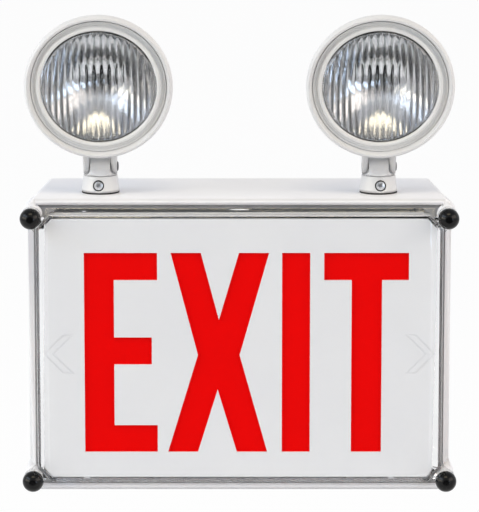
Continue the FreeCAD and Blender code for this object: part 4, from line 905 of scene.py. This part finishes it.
def bowl(offset, steps=40):
    """The bowl's outline from neck to mouth, moved out by an offset."""
    points = []
    for i in range(steps + 1):
        share = i / steps
        radius = BOWL_NECK + (BOWL_MOUTH - BOWL_NECK) * share
        depth = (radius ** 2 - BOWL_NECK ** 2) / (BOWL_MOUTH ** 2 - BOWL_NECK ** 2)
        points.append((radius + offset, FLANGE_BACK + BOWL_WALL - BOWL_DEEP * (1 - depth)))
    return points


for side in SIDES:
    outline = (bowl(0) + [(FLANGE_RADIUS, FLANGE_BACK + BOWL_WALL), (FLANGE_RADIUS, FLANGE_BACK)]
               + [(r, h - BOWL_WALL) for r, h in reversed(bowl(BOWL_WALL))])
    outline.append(outline[0])
    dish = spin(side + "_reflector_bowl", outline, lamps[side], steps=128)
    add_piece(side + "_reflector_bowl", dish, mirror_finish, side + "_head",
              [side + "_reflector"])
print("reflectors:", len(dish.polygons), "faces each")


# %% Bulbs
def build_bulb(side):
    """A glass capsule, its metal cap, and a level coil between two upright wires."""
    neck = FLANGE_BACK - BOWL_DEEP
    glass, wall, dome = 4.6, 0.5, neck + 11
    coil_half, coil_height = 2.25, neck + 9.5
    outer = [(3.2, neck + 2.2), (3.4, neck + 3.2), (glass, neck + 6), (glass, dome)]
    outer += arc(0, dome, glass, 6, 90, 12)
    inner = [(max(r - wall, 0), h - (wall if r < 4.0 else 0)) for r, h in reversed(outer)]
    envelope = spin(side + "_bulb_glass", outer + inner + [outer[0]], lamps[side], steps=48)
    add_piece(side + "_bulb_glass", envelope, glass_finish, side + "_head", [side + "_bulb"])
    cap = spin(side + "_bulb_cap", [(0, neck - 7.9), (3.9, neck - 7.9), (3.9, neck + 1.8),
                                    (3.1, neck + 2.6), (0, neck + 2.6)], lamps[side], steps=48)
    add_piece(side + "_bulb_cap", cap, zinc_finish, side + "_head")
    coil = grow(side + "_filament", threads, radius=0.6 * MM, pitch=0.45 * MM,
                length=2 * coil_half * MM, ridge=0.11 * MM, finish=tungsten_finish)
    coil.transform(lamps[side] @ Matrix.Translation((-coil_half * MM, 0, coil_height * MM))
                   @ Matrix.Rotation(math.radians(90), 4, "Y"))
    work = bmesh.new()
    work.from_mesh(coil)
    for x in (-coil_half, coil_half):
        wire = spin("wire", [(0, neck + 2.4), (0.2, neck + 2.4), (0.2, coil_height),
                             (0, coil_height)],
                    lamps[side] @ Matrix.Translation((x * MM, 0, 0)), steps=8)
        work.from_mesh(wire)
        bpy.data.meshes.remove(wire)
    work.to_mesh(coil)
    work.free()
    add_piece(side + "_filament", coil, tungsten_finish, side + "_head")


for side in SIDES:
    build_bulb(side)
print("two bulbs")

# %% [markdown]
# ## Camera
# The view is level from left to right and looks down by about ten degrees from well in front
# of the sign, through a long lens, so the far edges hardly shrink. The camera stands on the
# sign's centre line at a fixed spot, and only its downward tilt turns it.

# %% Place the camera
CAMERA_SPOT = Vector((0, -2.6163, 0.5195))
LOOK_DOWN, FOCAL_LENGTH = 10.2, 239.06
camera_data = bpy.data.cameras.new("camera")
camera_data.lens = FOCAL_LENGTH
camera_data.sensor_width = 36.0
camera_data.clip_end = 100.0
camera = new_object("camera", camera_data)
camera.location = CAMERA_SPOT
camera.rotation_euler = (math.radians(90 - LOOK_DOWN), 0, 0)
bpy.context.scene.camera = camera
print("camera", round(CAMERA_SPOT.length, 2), "m away")

# %% [markdown]
# ## Light and floor
# The room is a pale studio: bright all round, with five soft boxes and a dark cloth behind the
# camera. Two boxes, one warm and one cool, stand on the left, one on the right, one high in
# front and a small one level with the sign. Each is there for what lenses and rims reflect. The
# cloth is what the clear tray and the polished knobs reflect straight back, so the red behind
# the tray stays pure and black stays black, while white plastic still renders about as light
# as its colour says. The floor ends in front of the sign for the same reason.

# %% Room, soft boxes and floor
# The room's colours, from straight down at 0 to straight up at 1.
ROOM = ((0.25, "D2D3D5"), (0.45, "FCFDFF"), (0.62, "FCFDFF"), (0.9, "BEC0C5"))
BOX_AIM, BOX_AWAY = Vector((0, -0.08, 0.06)), 2.6
CLOTH_WAY = (0.0, -0.985, -0.17)         # the direction of the dark cloth's middle
FLOOR_DROP, FLOOR_REACH, FLOOR_FRONT = 0.35, 60.0, 1.2
FLOOR_GLOW = 0.94        # share of plain white light, for rays from the camera


def build_world():
    """The room that lights the sign and shows in it, and plain white behind for the camera."""
    world = bpy.data.worlds.new("studio")
    bpy.context.scene.world = world
    world.use_nodes = True
    tree = world.node_tree
    tree.nodes.clear()
    way = add_node(tree, "ShaderNodeTexCoord").outputs["Generated"]
    parts = add_node(tree, "ShaderNodeSeparateXYZ", links={0: way})
    room = add_node(tree, "ShaderNodeValToRGB",
                    links={"Fac": add_node(tree, "ShaderNodeMapRange", {"From Min": -1.0},
                                           {"Value": parts.outputs["Z"]}).outputs["Result"]})
    room.color_ramp.interpolation = "EASE"
    for position, colour in ROOM:
        stop = room.color_ramp.elements.new(position)
        stop.color = linear(colour)
    for spare in (room.color_ramp.elements[-1], room.color_ramp.elements[0]):
        room.color_ramp.elements.remove(spare)
    ahead = add_node(tree, "ShaderNodeVectorMath", {"operation": "DOT_PRODUCT",
                                                    1: CLOTH_WAY}, {0: way})
    flag = add_node(tree, "ShaderNodeMapRange",
                    {"interpolation_type": "SMOOTHSTEP", "From Min": 0.68, "From Max": 0.92,
                     "To Min": 1.0, "To Max": 0.02}, {"Value": ahead.outputs["Value"]})
    path = add_node(tree, "ShaderNodeLightPath")
    lit = add_node(tree, "ShaderNodeBackground",
                   links={"Color": room.outputs["Color"], "Strength": flag.outputs["Result"]})
    seen = add_node(tree, "ShaderNodeBackground", {"Color": linear("FFFFFF"), "Strength": 1.0})
    both = add_node(tree, "ShaderNodeMixShader",
                    links={0: path.outputs["Is Camera Ray"], 1: lit.outputs[0],
                           2: seen.outputs[0]})
    add_node(tree, "ShaderNodeOutputWorld", links={"Surface": both.outputs[0]})


def soft_box(name, azimuth, elevation, wide, high, power, colour):
    """A lamp aimed at the sign, its direction in degrees: 0 is the front and 90 the right."""
    lamp = bpy.data.lights.new(name, "AREA")
    lamp.shape, lamp.size, lamp.size_y = "RECTANGLE", wide, high
    lamp.energy = power
    lamp.color = linear(colour)[:3]
    round_, up = math.radians(azimuth), math.radians(elevation)
    way = Vector((math.sin(round_) * math.cos(up), -math.cos(round_) * math.cos(up),
                  math.sin(up)))
    holder = new_object(name, lamp)
    holder.location = BOX_AIM + way * BOX_AWAY
    holder.rotation_euler = (-way).to_track_quat("-Z", "Y").to_euler()


def build_floor(level):
    """White paper that fades into the white behind, and ends in front of the sign."""
    mesh = bpy.data.meshes.new("floor")
    reach, front = FLOOR_REACH, FLOOR_FRONT
    mesh.from_pydata([(-reach, -front, level), (reach, -front, level), (reach, reach, level),
                      (-reach, reach, level)], [], [(0, 1, 2, 3)])
    finish, tree, _ = begin_finish("paper_sweep_white")
    paper = add_node(tree, "ShaderNodeBsdfDiffuse", {"Color": linear("F7F7F7")})
    glow = add_node(tree, "ShaderNodeEmission", {"Color": linear("FFFFFF"), "Strength": 1.0})
    path = add_node(tree, "ShaderNodeLightPath")
    seen = add_node(tree, "ShaderNodeMath", {"operation": "MAXIMUM"},
                    {0: path.outputs["Is Camera Ray"], 1: path.outputs["Is Transmission Ray"]})
    share = add_node(tree, "ShaderNodeMath", {"operation": "MULTIPLY", 1: FLOOR_GLOW},
                     {0: seen.outputs[0]})
    both = add_node(tree, "ShaderNodeMixShader",
                    links={0: share.outputs[0], 1: paper.outputs[0], 2: glow.outputs[0]})
    end_finish(tree, both.outputs[0])
    mesh.materials.append(finish)
    new_object("floor", mesh)


build_world()
soft_box("soft_box_left_low", -68, 11, 2.4, 0.6, 19, "FFF5E0")
soft_box("soft_box_left_high", -68, 30, 2.4, 0.8, 23, "DCEBFF")
soft_box("soft_box_right", 62, 24, 2.2, 1.2, 22, "FFEFE0")
soft_box("soft_box_top", 0, 62, 1.3, 0.6, 15, "FFEFCC")
soft_box("soft_box_low", 36, -1, 0.7, 0.5, 5, "D2E6FF")
build_floor(cad_box[0].z - FLOOR_DROP)
print("studio lit")

# %% Settings and finish
bpy.context.scene.view_settings.view_transform = "Standard"
print("CAD box", [round(c, 4) for v in cad_box for c in v])
